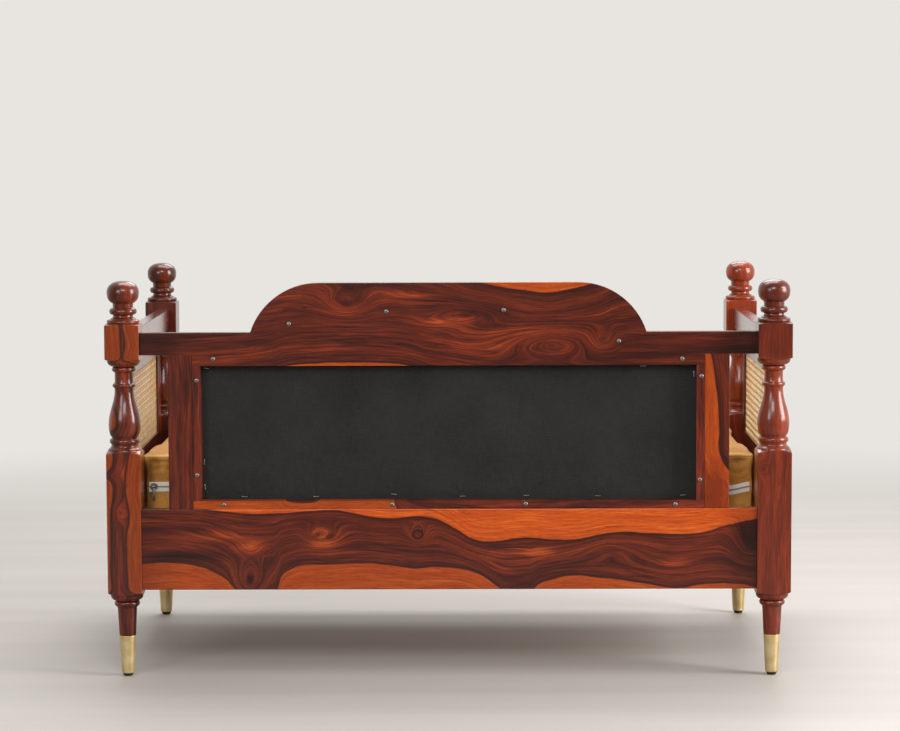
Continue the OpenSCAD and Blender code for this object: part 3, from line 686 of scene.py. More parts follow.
VEIN_LEFT = [
    (0, -45), (71, -45), (81, -6), (104, -3), (121, -3), (136, -2.5), (149, -4), (156, -30), (181, -30),
    (211, -22), (225, -14), (256, -10), (277, -11), (291, -16), (316, -24), (334, -20), (351, -21),
    (366, -30), (374, -37), (382, -29), (393, -21.5), (410, -21), (428, -23.6), (446, -26.5), (466, -27.5),
    (488, -27), (521, -28), (565, -28.5), (599, -28), (611, -45), (771, -45)]
VEIN_RIGHT = [
    (0, 45), (71, 45), (81, 4), (104, 6), (121, 8.6), (136, 5), (149, 3), (156, 30), (171, 45), (300, 45),
    (316, 30), (330, 14), (351, 8.8), (366, 7), (382, 5.5), (393, 5), (410, 5.5), (428, 8.6), (446, 12.3),
    (466, 11), (488, 6), (521, 5.6), (565, 6), (599, 9), (611, 45), (771, 45)]
POSTS = {
    "rear_right_post": dict(
        figure=banded(386, 0, 771, VEIN_RIGHT, VEIN_LEFT, 46, sideways=True, lean=0.6), sap=0.45,
        knots=[knot((-60, 7, 20), (20, 13, 60), 30, core=0.5, glow=0.3),
               knot((20, 3, 20), (26, 9, 60), 6, core=0, glow=0.6),
               knot((-150, 9, 20), (70, 8, 60), 0, core=0, glow=0.5)]),
    "rear_left_post": dict(
        figure=from_log((70, -60), 160, 8, 8.4), shade=(225, 1.16, 245, 0.7), sap=0.8, tint=0.15, calm=0.45,
        knots=[knot((22, 22, 33), (14, 10, 20), 10, core=0.3, glow=0)]),
    "front_right_post": dict(figure=from_log((20, 30), 150, 10, 5.2), shade=0.7, sap=0.7, calm=0.3),
    "front_left_post": dict(figure=from_log((60, 40), 140, 10, 1.7), shade=1.36, sap=0.8, tint=0.3, calm=0.4),
}


def dress_posts():
    """One rear post has the photograph's forked vein between paler edges. The others are even heartwood."""
    for name, look in POSTS.items():
        x, y, _ = middle_mm(name)
        make_post(name, lacquered(name, "z", centre=(x, y, POST_MIDDLE_MM), **look))


# Boards, each with the figure that the photograph shows or one like it

def knots_through(depth, *rows):
    """Knots through a board of that depth, as rows of x, z, reach along, reach up, push, core and glow."""
    return [knot((x, 0, z), (wide, depth, tall), *own) for x, z, wide, tall, *own in rows]


APRON_HEART_TOP = [
    (0, 163), (115, 159), (165, 152), (220, 149), (265, 149.5), (315, 153), (365, 156), (400, 152),
    (445, 142), (475, 139), (530, 143), (560, 140), (590, 128), (616, 113), (640, 99), (666, 94), (746, 101),
    (790, 97), (843, 98), (888, 107), (928, 112), (977, 109), (1043, 107), (1088, 112), (1132, 125),
    (1188, 136)]
APRON_HEART_FOOT = [
    (0, 51), (53, 53), (89, 50), (115, 44), (142, 33), (164, 19), (182, 0), (200, -18), (250, -18), (262, 0),
    (271, 27), (288, 40), (311, 48), (364, 49), (430, 52), (475, 48), (532, 41), (564, 44), (613, 41),
    (644, 33), (666, 22), (688, 5), (710, -8), (745, -8), (768, 11), (799, 21), (830, 26), (888, 22),
    (932, 17), (977, 10), (1003, 4), (1039, 2), (1074, 7), (1110, 11), (1145, 10), (1188, 2)]
APRON_KNOTS = knots_through(
    90, (385, -58, 26, 34, 60, 0.9, 0.1), (256, 28, 24, 17, 34, 0.6, 0.35), (230, 26, 30, 22, 30, 0.6, 0.3),
    (245, 8, 30, 8, 4, 0, 0.9), (60, 29, 20, 17, 40, 0.85, 0.3, True), (-311, -4, 58, 22, -30, 0.25, 0.4),
    (-582, 10, 36, 46, 60, 0.8, -0.5), (386, 3, 34, 15, 8, 0, 1.0), (466, 26, 80, 10, 5, 0, 0.75),
    (510, -12, 84, 11, 0, 0, -0.9), (-174, -5, 36, 12, 8, 0, 0.9), (-440, -29, 40, 9, 5, 0, 0.8))
CREST_HEART_TOP = [
    (0, 200), (560, 190), (646, 159), (690, 150), (740, 142), (785, 138), (830, 145), (876, 158), (930, 185),
    (1188, 200)]
CREST_HEART_FOOT = [
    (0, -30), (240, -16), (286, -1), (347, 3), (400, 4.6), (470, 2.6), (513, -1), (570, -16), (1188, -30)]
CREST_KNOTS = knots_through(
    60, (195, 41, 44, 26, 45, 0.55, 0.2), (-38, 19, 62, 22, -42, 0.5, -0.2),
    (-199, -33, 92, 32, -70, 0.1, 0.5), (-296, -30, 26, 22, 46, 0.4, 0.4), (275, 32, 24, 6, 4, 0.6, -0.3),
    (-6, 4, 64, 9, 12, 0, 0.9), (80, 56, 60, 8, 8, 0, 0.8))
STRIP_HEART_TOP = [(0, 90), (985, 90)]
STRIP_HEART_FOOT = [
    (0, 40), (160, 40), (178, 15), (215, 12), (240, 15), (262, 40), (372, 40), (388, 12), (398, -10),
    (440, -40), (985, -40)]
STILE_HEART_RIGHT = [(0, 90), (298.5, 90)]
STILE_HEART_LEFT = [
    (0, -13), (10, -10), (31, -6), (52, -3), (73, -1), (93, 1), (114, 3), (135, 4), (155, 4), (176, 3),
    (197, 6), (212, 13), (226, 24), (240, 40), (298.5, 40)]
STILE_KNOTS = [
    knot((-60, -10, 0), (10, 30, 30), -14, core=0, glow=-0.3),
    knot((-110, 6, 0), (40, 20, 60), 30, core=0, glow=-1.2),
    knot((-150, 0, 0), (50, 60, 60), 0, core=0, glow=-0.8)]
BANDED_BOARDS = {
    # The apron's sapwood is dimmed towards its lower edge, and the board towards its ends by the posts:
    # painted shade.
    "rear_apron": dict(
        along="x", figure=banded(594, -78.5, 1188, APRON_HEART_TOP, APRON_HEART_FOOT), knots=APRON_KNOTS,
        shade=0.94, sap=(-30, 0.7, 40, 1.0), ends=(500, 594, 0.62)),
    "back_rail": dict(
        along="x", figure=banded(594, -77.5, 1188, CREST_HEART_TOP, CREST_HEART_FOOT, 190), knots=CREST_KNOTS,
        shade=(-330, 0.68, -130, 0.93), sap=0.82, ends=(485, 560, 0.45)),
    "bottom_beading": dict(
        along="x", figure=banded(492.5, -8, 985, STRIP_HEART_TOP, STRIP_HEART_FOOT, 90), shade=1.1, sap=0.68),
    "back_left_stile": dict(
        along="z", figure=banded(149.25, 0, 298.5, STILE_HEART_RIGHT, STILE_HEART_LEFT, 120, sideways=True),
        knots=STILE_KNOTS, shade=0.86, sap=0.72),
}
# Way of the grain, place of the pith, radius of the heartwood, wander, seed and shade
LOG_BOARDS = {
    "front_apron": ("x", (30, -70), 120, 26, 2.0, 1.0),
    "right_apron": ("y", (20, 60), 104, 20, 6.3, 0.95),
    "left_apron": ("y", (-20, -50), 92, 20, 4.4, 1.0),
    "back_right_stile": ("z", (60, 50), 160, 10, 1.2, 0.8),
    "right_beading": ("z", (30, 40), 120, 6, 3.3, 1.25),
    "left_beading": ("z", (-30, 50), 120, 6, 5.8, 1.05),
    "right_arm_rail": ("y", (20, -50), 130, 12, 7.2, 0.8),
    "left_arm_rail": ("y", (-30, -40), 120, 12, 2.9, 0.95),
}


def cane_frame_boards():
    """The eight members of the cane frames, with their own figures."""
    seed = 11.0
    for side in SIDES:
        for member in ("front_stile", "rear_stile", "top_rail", "bottom_rail"):
            seed += 3.7
            look = "z" if "stile" in member else "y", (30 + seed, 70 - 2 * seed), 88 + seed, 12, seed, 0.86
            yield f"{side}_cane_{member}", look


def dress_boards():
    """Aprons and rails with their heartwood bands, and every other sheesham board sawn from its own log."""
    for name, look in BANDED_BOARDS.items():
        dressed(name, lacquered(name, coat=0.5, **look))
    for name, (along, pith, radius, wander, seed, shade) in [*LOG_BOARDS.items(), *cane_frame_boards()]:
        finish = lacquered(name, along, from_log(pith, radius, wander, seed), shade=shade,
                           coat=1.0 if "arm_rail" in name else 0.7)
        dressed(name, finish, ease_mm=0.7 if "cane" in name or "beading" in name else 0.0)
    for side in SIDES:
        name = f"{side}_cane_beading"
        finish = lacquered(name, "y", from_log((40, 60), 130, 10, 5.5), shade=0.85, centre=(0.0, 0.0, 495.0))
        dressed(name, finish, ease_mm=0.6)


def raw_wood(name, along, pale, dark, seed):
    """Planed, unlacquered wood for what is out of sight: straight grain in two tones, with fine fibres."""
    made, t = material(name, Roughness=0.62)
    x, y, z = t.axes_mm(along=along)
    position = t.join(x + seed * 137, y, z)
    streak = t.noise(position, 3, 0.004, 0.09, 0.09)
    fibre = t.noise(position, 2, 0.02, 1.2, 1.2)
    t.give("Base Color", t.mix(t.spread(streak * 0.7 + fibre * 0.3, 0.35, 0.65), dark, pale))
    t.bump(fibre, 0.15, 0.5)
    return made


def plywood():
    """Rotary-cut faces, with the glued layers showing at the edge."""
    made, t = material("plywood", Roughness=0.6)
    x, y, z = t.axes_mm()
    grain = t.noise(t.join(x, y, z), 3, 0.004, 0.4, 0.12)
    layer = t.spread(t.calc("SINE", y * (math.pi / 2.4)), -0.3, 0.3)
    face = t.mix(grain, srgb(176, 134, 86), srgb(205, 168, 118))
    t.give("Base Color", t.mix(layer, t.mix(0.35, face, srgb(120, 84, 52)), face))
    return made


def dress_hidden_wood():
    """Slats, cleats and corner blocks of plain wood, and the plywood panel."""
    slats = raw_wood("slat_wood", "y", srgb(196, 156, 108), srgb(160, 116, 74), 1)
    cleats = raw_wood("cleat_wood", "x", srgb(186, 142, 96), srgb(146, 102, 64), 2)
    blocks = raw_wood("block_wood", "x", srgb(190, 148, 102), srgb(152, 110, 70), 3)
    for name in nodes:
        if name.startswith("slat_"):
            painted(name, slats)
        elif name.endswith("_cleat"):
            painted(name, cleats)
        elif name.endswith("_corner_block"):
            dressed(name, blocks, ease_mm=0.8)
    painted("back_panel", plywood())


# Metal feet

def satin_brass():
    """Brass that is brushed round, with paler patches of wear."""
    made, t = material("satin_brass", Metallic=0.6)
    brushed = t.noise(t.place_mm(), 3, 0.12, 0.12, 5.0)
    worn = t.noise(t.place_mm(), 3, 0.05, 0.05, 0.05)
    t.give("Base Color", t.mix(t.spread(worn, 0.35, 0.65), srgb(216, 184, 124), srgb(234, 210, 158)))
    t.give("Roughness", t.spread((brushed + worn) * 0.5, 0.3, 0.7, 0.3, 0.42))
    t.bump(brushed, 0.02, 0.5)
    return made


def ferrule_profile(bottom, top):
    """A cone with a rounded foot and a rolled rim, up its outside and down its inside."""
    foot, rim = 12.2, FERRULE_RIM_MM
    return [
        [[3.0, bottom], [foot - 1, bottom]],
        arc(foot - 1, bottom + 1, 1, 1, -90, 0, 5)[1:],
        straight([foot + 0.05, bottom + 2], [rim, top - 2.4], 6),
        arc(rim, top - 1.2, 0.7, 1.1, -70, 70, 8),
        [[rim - 0.2, top], [rim - 1, top], [rim - 1.1, top - 2]],
        [[foot - 1, bottom + 2], [3.0, bottom + 2]]]


def glide_profile(shoulder):
    """A low foot that widens up to its shoulder, with a pin up into the post."""
    return [
        [[0.01, 0.0], [7.5, 0.0]],
        arc(7.5, 1, 1, 1, -90, 0, 5)[1:],
        straight([8.7, 1.6], [10.4, shoulder - 1.3], 3),
        [[10.6, shoulder - 0.9], [10.6, shoulder - 0.2], [10.2, shoulder], [2.5, shoulder]],
        [[2.5, 27.0], [0.01, 27.0]]]


def dress_feet():
    """Brass ferrules and the dark glides under them."""
    brass = satin_brass()
    rubber = mottled("dark_glide", 0.4, srgb(40, 28, 24), srgb(62, 45, 38), 0.5)
    for corner in [f"{end}_{side}" for end in ("rear", "front") for side in SIDES]:
        (_, _, bottom), (_, _, top) = box_mm(corner + "_ferrule")
        axis = middle_mm(corner + "_ferrule")[:2]
        lathe(corner + "_ferrule", "_brushed", ferrule_profile(bottom, top), axis, brass, 72)
        lathe(corner + "_glide", "_moulded", glide_profile(bottom), axis, rubber, 48)


# Screws

SCREW_PLANE_MM, SCREW_HEAD_MM = 351.0, 9.0


def dress_screws():
    """Round heads on shanks through the frame, at the CAD heads' own places. A head is half an ellipsoid,
    sunk near its middle where the smaller of its two coordinates is under the cross's half width."""
    finish = mottled("screw_zinc", 0.5, srgb(98, 94, 90), srgb(172, 168, 162), (0.34, 0.52), Metallic=1.0)
    turn = np.linspace(0, 2 * np.pi, 48, endpoint=False)
    radius = np.concatenate([[1.7, 1.7, 4.3], np.linspace(4.3, 0.25, 16)])[:, None]
    dome = 1.9 * np.sqrt(1 - (np.linspace(4.25, 0.25, 16) / 4.4) ** 2)
    depth = np.concatenate([[-30.0, -0.01, -0.01], dome])[:, None]
    arm = np.minimum(np.abs(radius * np.cos(turn)), np.abs(radius * np.sin(turn)))
    recess = np.clip((0.62 - arm) / 0.3, 0, 1) * np.clip((2.2 - radius) / 0.5, 0, 1)
    level = SCREW_PLANE_MM + (depth - 1.3 * recess * (depth > 0))
    heads = []
    for k, (x, z) in enumerate(screw_places()):
        spin = turn + k * 2.4
        rings = np.stack([x + radius * np.cos(spin), level, z + radius * np.sin(spin)], -1)
        heads.append(spindle(rings, [x, SCREW_PLANE_MM - 30, z], [x, SCREW_PLANE_MM + 0.6, z]))
    make_piece("back_screw_heads", joined(heads), finish, "back_screws", 50)


def screw_places():
    """Centres of the CAD screw heads, (x, z) in millimetres."""
    points = read_mm(nodes["back_screws"].data)
    tops = points[points[:, 1] > points[:, 1].max() - 0.02][:, [0, 2]]
    places = []
    while len(tops):
        near = np.hypot(*(tops - tops[0]).T) < SCREW_HEAD_MM
        middle = (tops[near].min(axis=0) + tops[near].max(axis=0)) / 2
        places.append((float(middle[0]), float(middle[1])))
        tops = tops[~near]
    return sorted(places)


# Cane

CANE_PITCH_MM, CANE_PAIR_MM = 12.9, 1.35
CANE_HALF_MM, CANE_LOW_MM, CANE_HIGH_MM, CANE_PLANE_MM = 248.0, 400.5, 590.0, 632.8


def cane_finish():
    """Split cane with a glossy skin: each strand has its own tone, fine fibres and a few darker joints, with
    painted shade on its lower edges and where it dips low.
    """
    made, t = material("woven_cane", Roughness=0.42, Specular_IOR_Level=0.4)
    tone, run, depth = (t.attribute(label) for label in ("strand", "along", "depth"))
    fibre = t.noise(t.place_mm(along="y"), 2, 0.9, 0.9, 0.9)
    patch = t.noise(t.join(run * 0.02, tone * 90, 0.0), 2)
    joint = t.spread(t.noise(t.join(run * 0.045, tone * 57, 3.0), 0), 0.74, 0.8)
    mixed = t.spread(tone * 0.45 + patch * 0.4 + fibre * 0.25, 0.2, 0.85)
    colour = t.ramp(mixed, (0.0, srgb(236, 188, 122)), (0.5, srgb(253, 218, 156)), (1.0, srgb(255, 238, 194)))
    colour = t.mix(joint * 0.5, colour, srgb(130, 86, 44))
    # The depth mark is painted shade: darker on the strands' lower edges and where they dip under others.
    t.give("Base Color", t.mix(depth * 0.95, colour, srgb(88, 50, 22)))
    t.bump(fibre, 0.05, 0.5)
    return made


def cane_strands():
    """Centre lines of a six-way weave. Pairs up and across rise and fall as a sine, over and under each other
    by turns. Single strands run each way on the slant and rise and fall as a cosine, one over the upright
    pairs and under the level ones, the other the reverse."""
    h, step, lift, slant = CANE_PITCH_MM, CANE_PITCH_MM / 4, 0.34, 0.6
    middle, tall = (CANE_LOW_MM + CANE_HIGH_MM) / 2, (CANE_HIGH_MM - CANE_LOW_MM) / 2
    lines = []

    def lay(across, up, out):
        points = np.column_stack(np.broadcast_arrays(across, up, out))
        points = points[(np.abs(points[:, 0]) <= CANE_HALF_MM) & (np.abs(points[:, 1]) <= tall)]
        if len(points) > 3:
            lines.append(points + np.array([0, middle, 0]))

    x = np.arange(-20 * h, 20 * h + step / 2, step)
    z = np.arange(-8 * h, 8 * h + step / 2, step)
    for i in range(-20, 20):
        for offset in (-CANE_PAIR_MM, CANE_PAIR_MM):
            lay((i + 0.5) * h + offset, z, (1 if i % 2 else -1) * lift * np.sin(np.pi * z / h) - 0.12)
    for k in range(-8, 8):
        for offset in (-CANE_PAIR_MM, CANE_PAIR_MM):
            lay(x, (k + 0.5) * h + offset, (-1 if k % 2 else 1) * lift * np.sin(np.pi * x / h) + 0.2)
    wave = slant * np.cos(2 * np.pi * x / h)
    for n in range(-29, 29):
        lay(x, (n + 0.5) * h - x, -wave)
        lay(x, x - (n + 0.5) * h, wave)
    return lines


def weave_cane(side, finish, lines):
    """Flat ribbons with a rounded skin: a section of five corners carried along every centre line, in the
    rebate of one cane frame."""
    section = np.array([[-0.98, -0.22], [0.98, -0.22], [0.72, 0.14], [0.0, 0.27], [-0.72, 0.14]])
    # How much painted shade each corner of the section gets: most at the two lower edges.
    painted_edge_shade = np.array([0.3, 0.3, 0.05, 0.0, 0.05])
    corners = len(section)
    ribbons, tones, runs, painted_shades = [], [], [], []
    rng = np.random.default_rng(7 + (SIDES[side] > 0))
    for line in lines:
        heading = line[-1, :2] - line[0, :2]
        heading /= np.linalg.norm(heading)
        across = np.array([-heading[1], heading[0]])
        run = np.concatenate([[0], np.cumsum(np.linalg.norm(np.diff(line[:, :2], axis=0), axis=1))])
        flat = line[:, None, :2] + section[None, :, :1] * across
        x = SIDES[side] * (CANE_PLANE_MM + (line[:, None, 2] + section[None, :, 1]))
        ribbons.append(tube(np.stack([x, flat[..., 0], flat[..., 1]], -1)))
        tones.append(np.full(corners * len(line), rng.uniform()))
        runs.append(np.repeat(run, corners) + rng.uniform(0, 500))
        # More painted shade where a strand dips below the weave's middle.
        painted_dip_shade = np.clip(-0.15 - line[:, 2], 0, 0.45)
        painted_shades.append(np.clip(painted_edge_shade + painted_dip_shade[:, None], 0, 1).ravel())
    piece = make_piece(f"{side}_cane_weave", joined(ribbons), finish, f"{side}_cane", 60)
    for label, values in (("strand", tones), ("along", runs), ("depth", painted_shades)):
        mark(piece, label, np.concatenate(values))


def dress_cane():
    """The woven cane of both arms."""
    finish, lines = cane_finish(), cane_strands()
    for side in SIDES:
        weave_cane(side, finish, lines)


# Soft goods

ZIP_LEVEL_MM, ZIP_FACE_MM, SEAT_TOP_MM, SEAT_FOOT_MM = 365.8, 275.4, 427.3, 304.3
SEAT_HALF_MM, SEAT_REAR_MM, SEAT_EDGE_MM = 592.2, 286.2, 9.0
SEAT_LOW_MM = np.array([-SEAT_HALF_MM, -325.6, 304.4])
SEAT_HIGH_MM = np.array([SEAT_HALF_MM, SEAT_REAR_MM, 434.2])


def ease(value, low, high):
    """0 at low and 1 at high: three times the square of the share of the way, less twice its cube."""
    share = np.clip((value - low) / (high - low), 0, 1)
    return share * share * (3 - 2 * share)


def ripple(value, seed, lengths, shares):
    """Uneven waves between -1 and 1: a few sines with set phases."""
    total = sum(share * np.sin(2 * np.pi * value / length + seed * (3.1 + 1.7 * k))
                for k, (length, share) in enumerate(zip(lengths, shares)))
    return total / sum(shares)


def fabric(name, pale, deep, seed):
    """A plain-woven cover: threads both ways on each face, patches of wear, painted shade in creases with a
    painted highlight on the rolled rim, and a fine seam drawn as a line of painted shade.
    """
    made, t = material(name, Roughness=0.82, Sheen_Weight=0.15, Sheen_Roughness=0.45, Specular_IOR_Level=0.2)
    x, y, z = t.axes_mm()
    normal = t.split(t.out("Normal", "ShaderNodeNewGeometry"))
    flat, end_on = (t.spread(abs(normal[axis]), 0.6, 0.8) for axis in (2, 0))

    def threads(along, across):
        warp = t.noise(t.join(along * 0.05, across * 1.9, seed), 1)
        weft = t.noise(t.join(along * 1.9, across * 0.05, seed + 5), 1)
        return warp * 0.5 + weft * 0.5

    side = threads(x, z) * (1.0 - end_on) + threads(y, z) * end_on
    weave = threads(x, y) * flat + side * (1.0 - flat)
    patch = t.noise(t.join(x, y, z), 3, 0.012, 0.012, 0.02)
    colour = t.mix(t.spread(weave * 0.78 + patch * 0.22, 0.36, 0.64), deep, pale)
    line = t.spread(abs(t.attribute("seam")), 1.6, 0.5)
    painted_shade_and_highlight = t.attribute("painted_shade_and_highlight")
    # Painted highlight where the mark is below 0, on the rolled rim; painted shade where it is above 0, in
    # folds and at a corner.
    colour = t.mix(t.calc("MAXIMUM", painted_shade_and_highlight * -1.6, 0.0), colour, srgb(252, 204, 126))
    colour = t.mix(t.calc("MAXIMUM", painted_shade_and_highlight, 0.0) * 0.85, colour, srgb(84, 50, 20))
    # The seam's dark line is painted shade along its groove.
    t.give("Base Color", t.mix(line * 0.45, colour, srgb(72, 42, 16)))
    t.bump(weave * 0.6 - line * 2.2, 0.35, 0.7)
    return made


def evaluated(worker):
    """A new mesh of an object as its modifiers leave it."""
    graph = bpy.context.evaluated_depsgraph_get()
    return bpy.data.meshes.new_from_object(worker.evaluated_get(graph))


def face_lists(mesh):
    """A mesh's faces as lists of point numbers."""
    return [list(p.vertices) for p in mesh.polygons]


def under_pressure(worker, frames=20):
    """A closed mesh as air from inside has swollen its cloth."""
    cloth = worker.modifiers.new("pressure", "CLOTH")
    set_all(cloth.settings, quality=5, mass=0.3, tension_stiffness=20, compression_stiffness=20,
            bending_stiffness=1.2, use_pressure=True, uniform_pressure_force=4.0)
    cloth.settings.effector_weights.gravity = 0.0
    set_all(cloth.collision_settings, use_collision=False, use_self_collision=False)
    cloth.point_cache.frame_end = frames
    scene = bpy.context.scene
    for number in range(1, frames + 1):
        scene.frame_set(number)
    after = read_mm(evaluated(worker))
    worker.modifiers.clear()
    scene.frame_set(1)
    return after


def swollen(node, shrink, voxel_mm, cap_mm):
    """The node's shape, drawn in a little, as an even mesh that has swollen by cap_mm at most."""
    low, high = box_mm(node)
    centre = (low + high) / 2
    mesh = nodes[node].data.copy()
    points = centre + (read_mm(mesh) - centre) * (1 - np.array(shrink) / ((high - low) / 2))
    mesh.vertices.foreach_set("co", (points * MM).ravel())
    worker = place_object("swelling", mesh)
    set_all(worker.modifiers.new("even", "REMESH"), mode="VOXEL", voxel_size=voxel_mm * MM)
    even = evaluated(worker)
    worker.modifiers.clear()
    worker.data = even
    points = read_mm(even)
    moved = under_pressure(worker) - points
    far = np.linalg.norm(moved, axis=1, keepdims=True)
    points = points + moved * np.minimum(1, cap_mm / np.maximum(far, 1e-6))
    bpy.data.objects.remove(worker)
    return points, face_lists(even)


def doubled(points, faces):
    """The same closed shape after one round of subdivision."""
    mesh = bpy.data.meshes.new("coarse")
    mesh.from_pydata((points * MM).tolist(), [], faces)
    worker = place_object("coarse", mesh)
    set_all(worker.modifiers.new("finer", "SUBSURF"), levels=1, render_levels=1)
    fine = evaluated(worker)
    bpy.data.objects.remove(worker)
    return read_mm(fine), face_lists(fine)


def soft_piece(name, points, faces, finish, replaces, seam, body="frame"):
    """A padded piece that keeps its distance from the seam, in millimetres, for the finish."""
    piece = make_piece(name, (points, [faces]), finish, replaces, smooth_deg=0, body=body)
    mark(piece, "seam", seam)
    return piece


def fitted(points, low, high):
    """The points stretched a little so that they just fill a box."""
    first, last = points.min(axis=0), points.max(axis=0)
    return low + (points - first) * ((high - low) / (last - first))


def crown_mm(x, y):
    """Height of the cushion's top: level along its edges and higher inwards, by one less the cube of the
    share of the way out, across and in depth."""
    middle, half = (SEAT_LOW_MM + SEAT_HIGH_MM) / 2, (SEAT_HIGH_MM - SEAT_LOW_MM) / 2
    across, deep = (np.clip(np.abs(value - middle[axis]) / half[axis], 0, 1)
                    for axis, value in enumerate((x, y)))
    return SEAT_TOP_MM + 1.4 + 5.4 * (1 - across ** 3) * (1 - deep ** 3)


def firm_edges(points, low, high, radius):
    """The points near a box's edges brought out to that radius, as firm foam holds its cover: beyond the
    inner box, a point's offset keeps its direction and takes the radius as its length. high is set per
    point."""
    centre, inner = (low + high) / 2, (high - low) / 2 - radius
    beyond = np.maximum(np.abs(points - centre) - inner, 0)
    largest = np.sort(beyond, axis=1)
    share = np.maximum(ease(largest[:, 1:2], 0.0, 3.0), 0.7 * ease(largest[:, 2:3], 0.0, radius))
    length = np.linalg.norm(beyond, axis=1, keepdims=True)
    pushed = beyond * (radius / np.maximum(length, 1e-6) - 1) * share
    return points + np.sign(points - centre) * pushed


def zip_level(x):
    """Height of the zip along the rear face: it sags a little and sinks near the far corner."""
    dip = ease(-x, 380, 520) * ease(-x, 592, 545)
    return ZIP_LEVEL_MM - 1.5 - 9.0 * dip - 2.0 * ease(-x, 520, 590)


def dress_cushion(finish):
    """The loose seat cushion: a crowned top, a rolled rear edge with a sagging fold under it, and soft
    upright folds, drawn in where the zip tape lies. The folds are sums of sines along its walls, the roll
    and the sag are bells of the depth below its top."""
    points, faces = swollen("seat_cushion", (1.5, 1.5, 1.0), 8.5, 5.0)
    points, faces = doubled(fitted(points, SEAT_LOW_MM, SEAT_HIGH_MM), faces)
    high = np.tile(SEAT_HIGH_MM, (len(points), 1))
    high[:, 2] = crown_mm(*points[:, :2].T)
    x, y, z = firm_edges(points, SEAT_LOW_MM, high, SEAT_EDGE_MM).T

    # Folds in the walls
    foot, top = SEAT_FOOT_MM, SEAT_TOP_MM
    wall = ease(z, foot + 4, foot + 24) * ease(z, top + 1, top - 12)
    rear, front = ease(y, 250, 272), ease(y, -290, -312)
    ends = ease(np.abs(x), 566, 584)
    drop = top - z
    fold_x = ripple(x + 0.5 * drop * np.sin(x / 47), 1.3, (34, 52, 83, 190), (0.8, 1.0, 0.8, 0.6))
    fold_y = ripple(y - 0.3 * drop, 2.1, (31, 52, 90), (0.7, 1.0, 0.8))
    hang = 0.35 + 0.65 * ease(drop, 50, 14)
    hollow = ease(fold_x, -0.75, 0.75)
    roll = np.exp(-((drop - 13) / 5.5) ** 2)
    swag = np.exp(-((drop - 24 - 14 * np.sin(x / 31 + 0.8) ** 2) / 4.0) ** 2)
    free = ease(SEAT_HALF_MM - np.abs(x), 3, 16)
    sunk = wall * free * (8.5 * hang * hollow + 4.5 * roll + 3.5 * swag)
    y = y - rear * sunk
    y = y + front * wall * free * (3.0 * hang * hollow + 1.5 * roll)
    x = x - np.sign(x) * ends * wall * hang * (0.5 + 0.5 * np.clip(fold_y, -1, 1)) * 2.4

    # The rolled upper edge, the zip's groove and the uneven top
    rolled = ease(y, -290, -262) * ease(z, 398, 421) * ease(np.abs(x), 540, 592)
    x = x + rolled * np.where(x > 0, 7.0, -3.0)
    # Painted shade: the +X rear corner under the rolled edge is painted darker.
    corner = ease(x, 572, 584) * ease(z, 421, 412)
    near_zip = ease(np.abs(z - zip_level(x)), 30, 11)
    y = np.where(rear > 0, y + rear * near_zip * (ZIP_FACE_MM - 0.1 - y), y)
    inland = ease(SEAT_HALF_MM - np.abs(x), 4, 30) * ease(SEAT_REAR_MM - y, 4, 30)
    dips = np.minimum(0, ripple(x + 0.4 * y, 0.7, (90, 150, 260, 410), (0.7, 1, 1, 1)) - 0.2)
    z = z + ease(z, top - 4, top + 1) * inland * dips * 1.8

    seam = np.where(z > 366, top - 5.0 - z, z - foot - 7.0)
    seam = np.where((rear > 0.02) | (front > 0.02) | (ends > 0.02), seam, 50.0)
    points = np.column_stack([x, y, z])
    piece = soft_piece("seat_cushion_cover", points, faces, finish, "seat_cushion", seam, body="cushion")
    # Painted light for the cover: painted shade in the sunk folds of the rear wall and at the corner, less
    # near the zip, and a painted highlight along the rim under the top.
    depth = (1 - near_zip) * np.clip(sunk / 11 - 0.3, -0.3, 0.9)
    rim = ease(z, top - 10, top - 5) * ease(SEAT_REAR_MM - y, 15, 7)
    mark(piece, "painted_shade_and_highlight", rear * np.maximum(depth, 0.8 * corner) - 0.32 * rim * (1 - corner))


def dress_back_pad(finish):
    """The fixed pad on the front of the back: swollen, then stretched to fill its box, with a seam line 7 mm
    in from its back.
    """
    points, faces = swollen("back_pad", (2.0, 1.0, 2.0), 7.0, 6.0)
    low, high = box_mm("back_pad")
    points, faces = doubled(fitted(points, low + 0.4, high - 0.1), faces)
    seam = np.abs(points[:, 1] - (high[1] - 7.0))
    piece = soft_piece("back_pad_cover", points, faces, finish, "back_pad", seam)


# Each staple's x and z, and its tilt in degrees
CLOTH_STAPLES_MM = [
    (396, 352, 4), (257, 352, -3), (106, 356, 6), (-27, 352, 0), (-150, 353, -5), (-288, 352, 3),
    (-453, 353, -4), (468, 602, 8), (-375, 604, 2), (-473, 588, 88), (472, 371, 84), (473, 420, 93)]
CLOTH_HALF_MM, CLOTH_LOW_MM, CLOTH_HIGH_MM = 480.5, 342.5, 612.0
CLOTH_INNER_MM, CLOTH_OUTER_MM, CLOTH_FACE_MM = 328.45, 328.98, 329.0


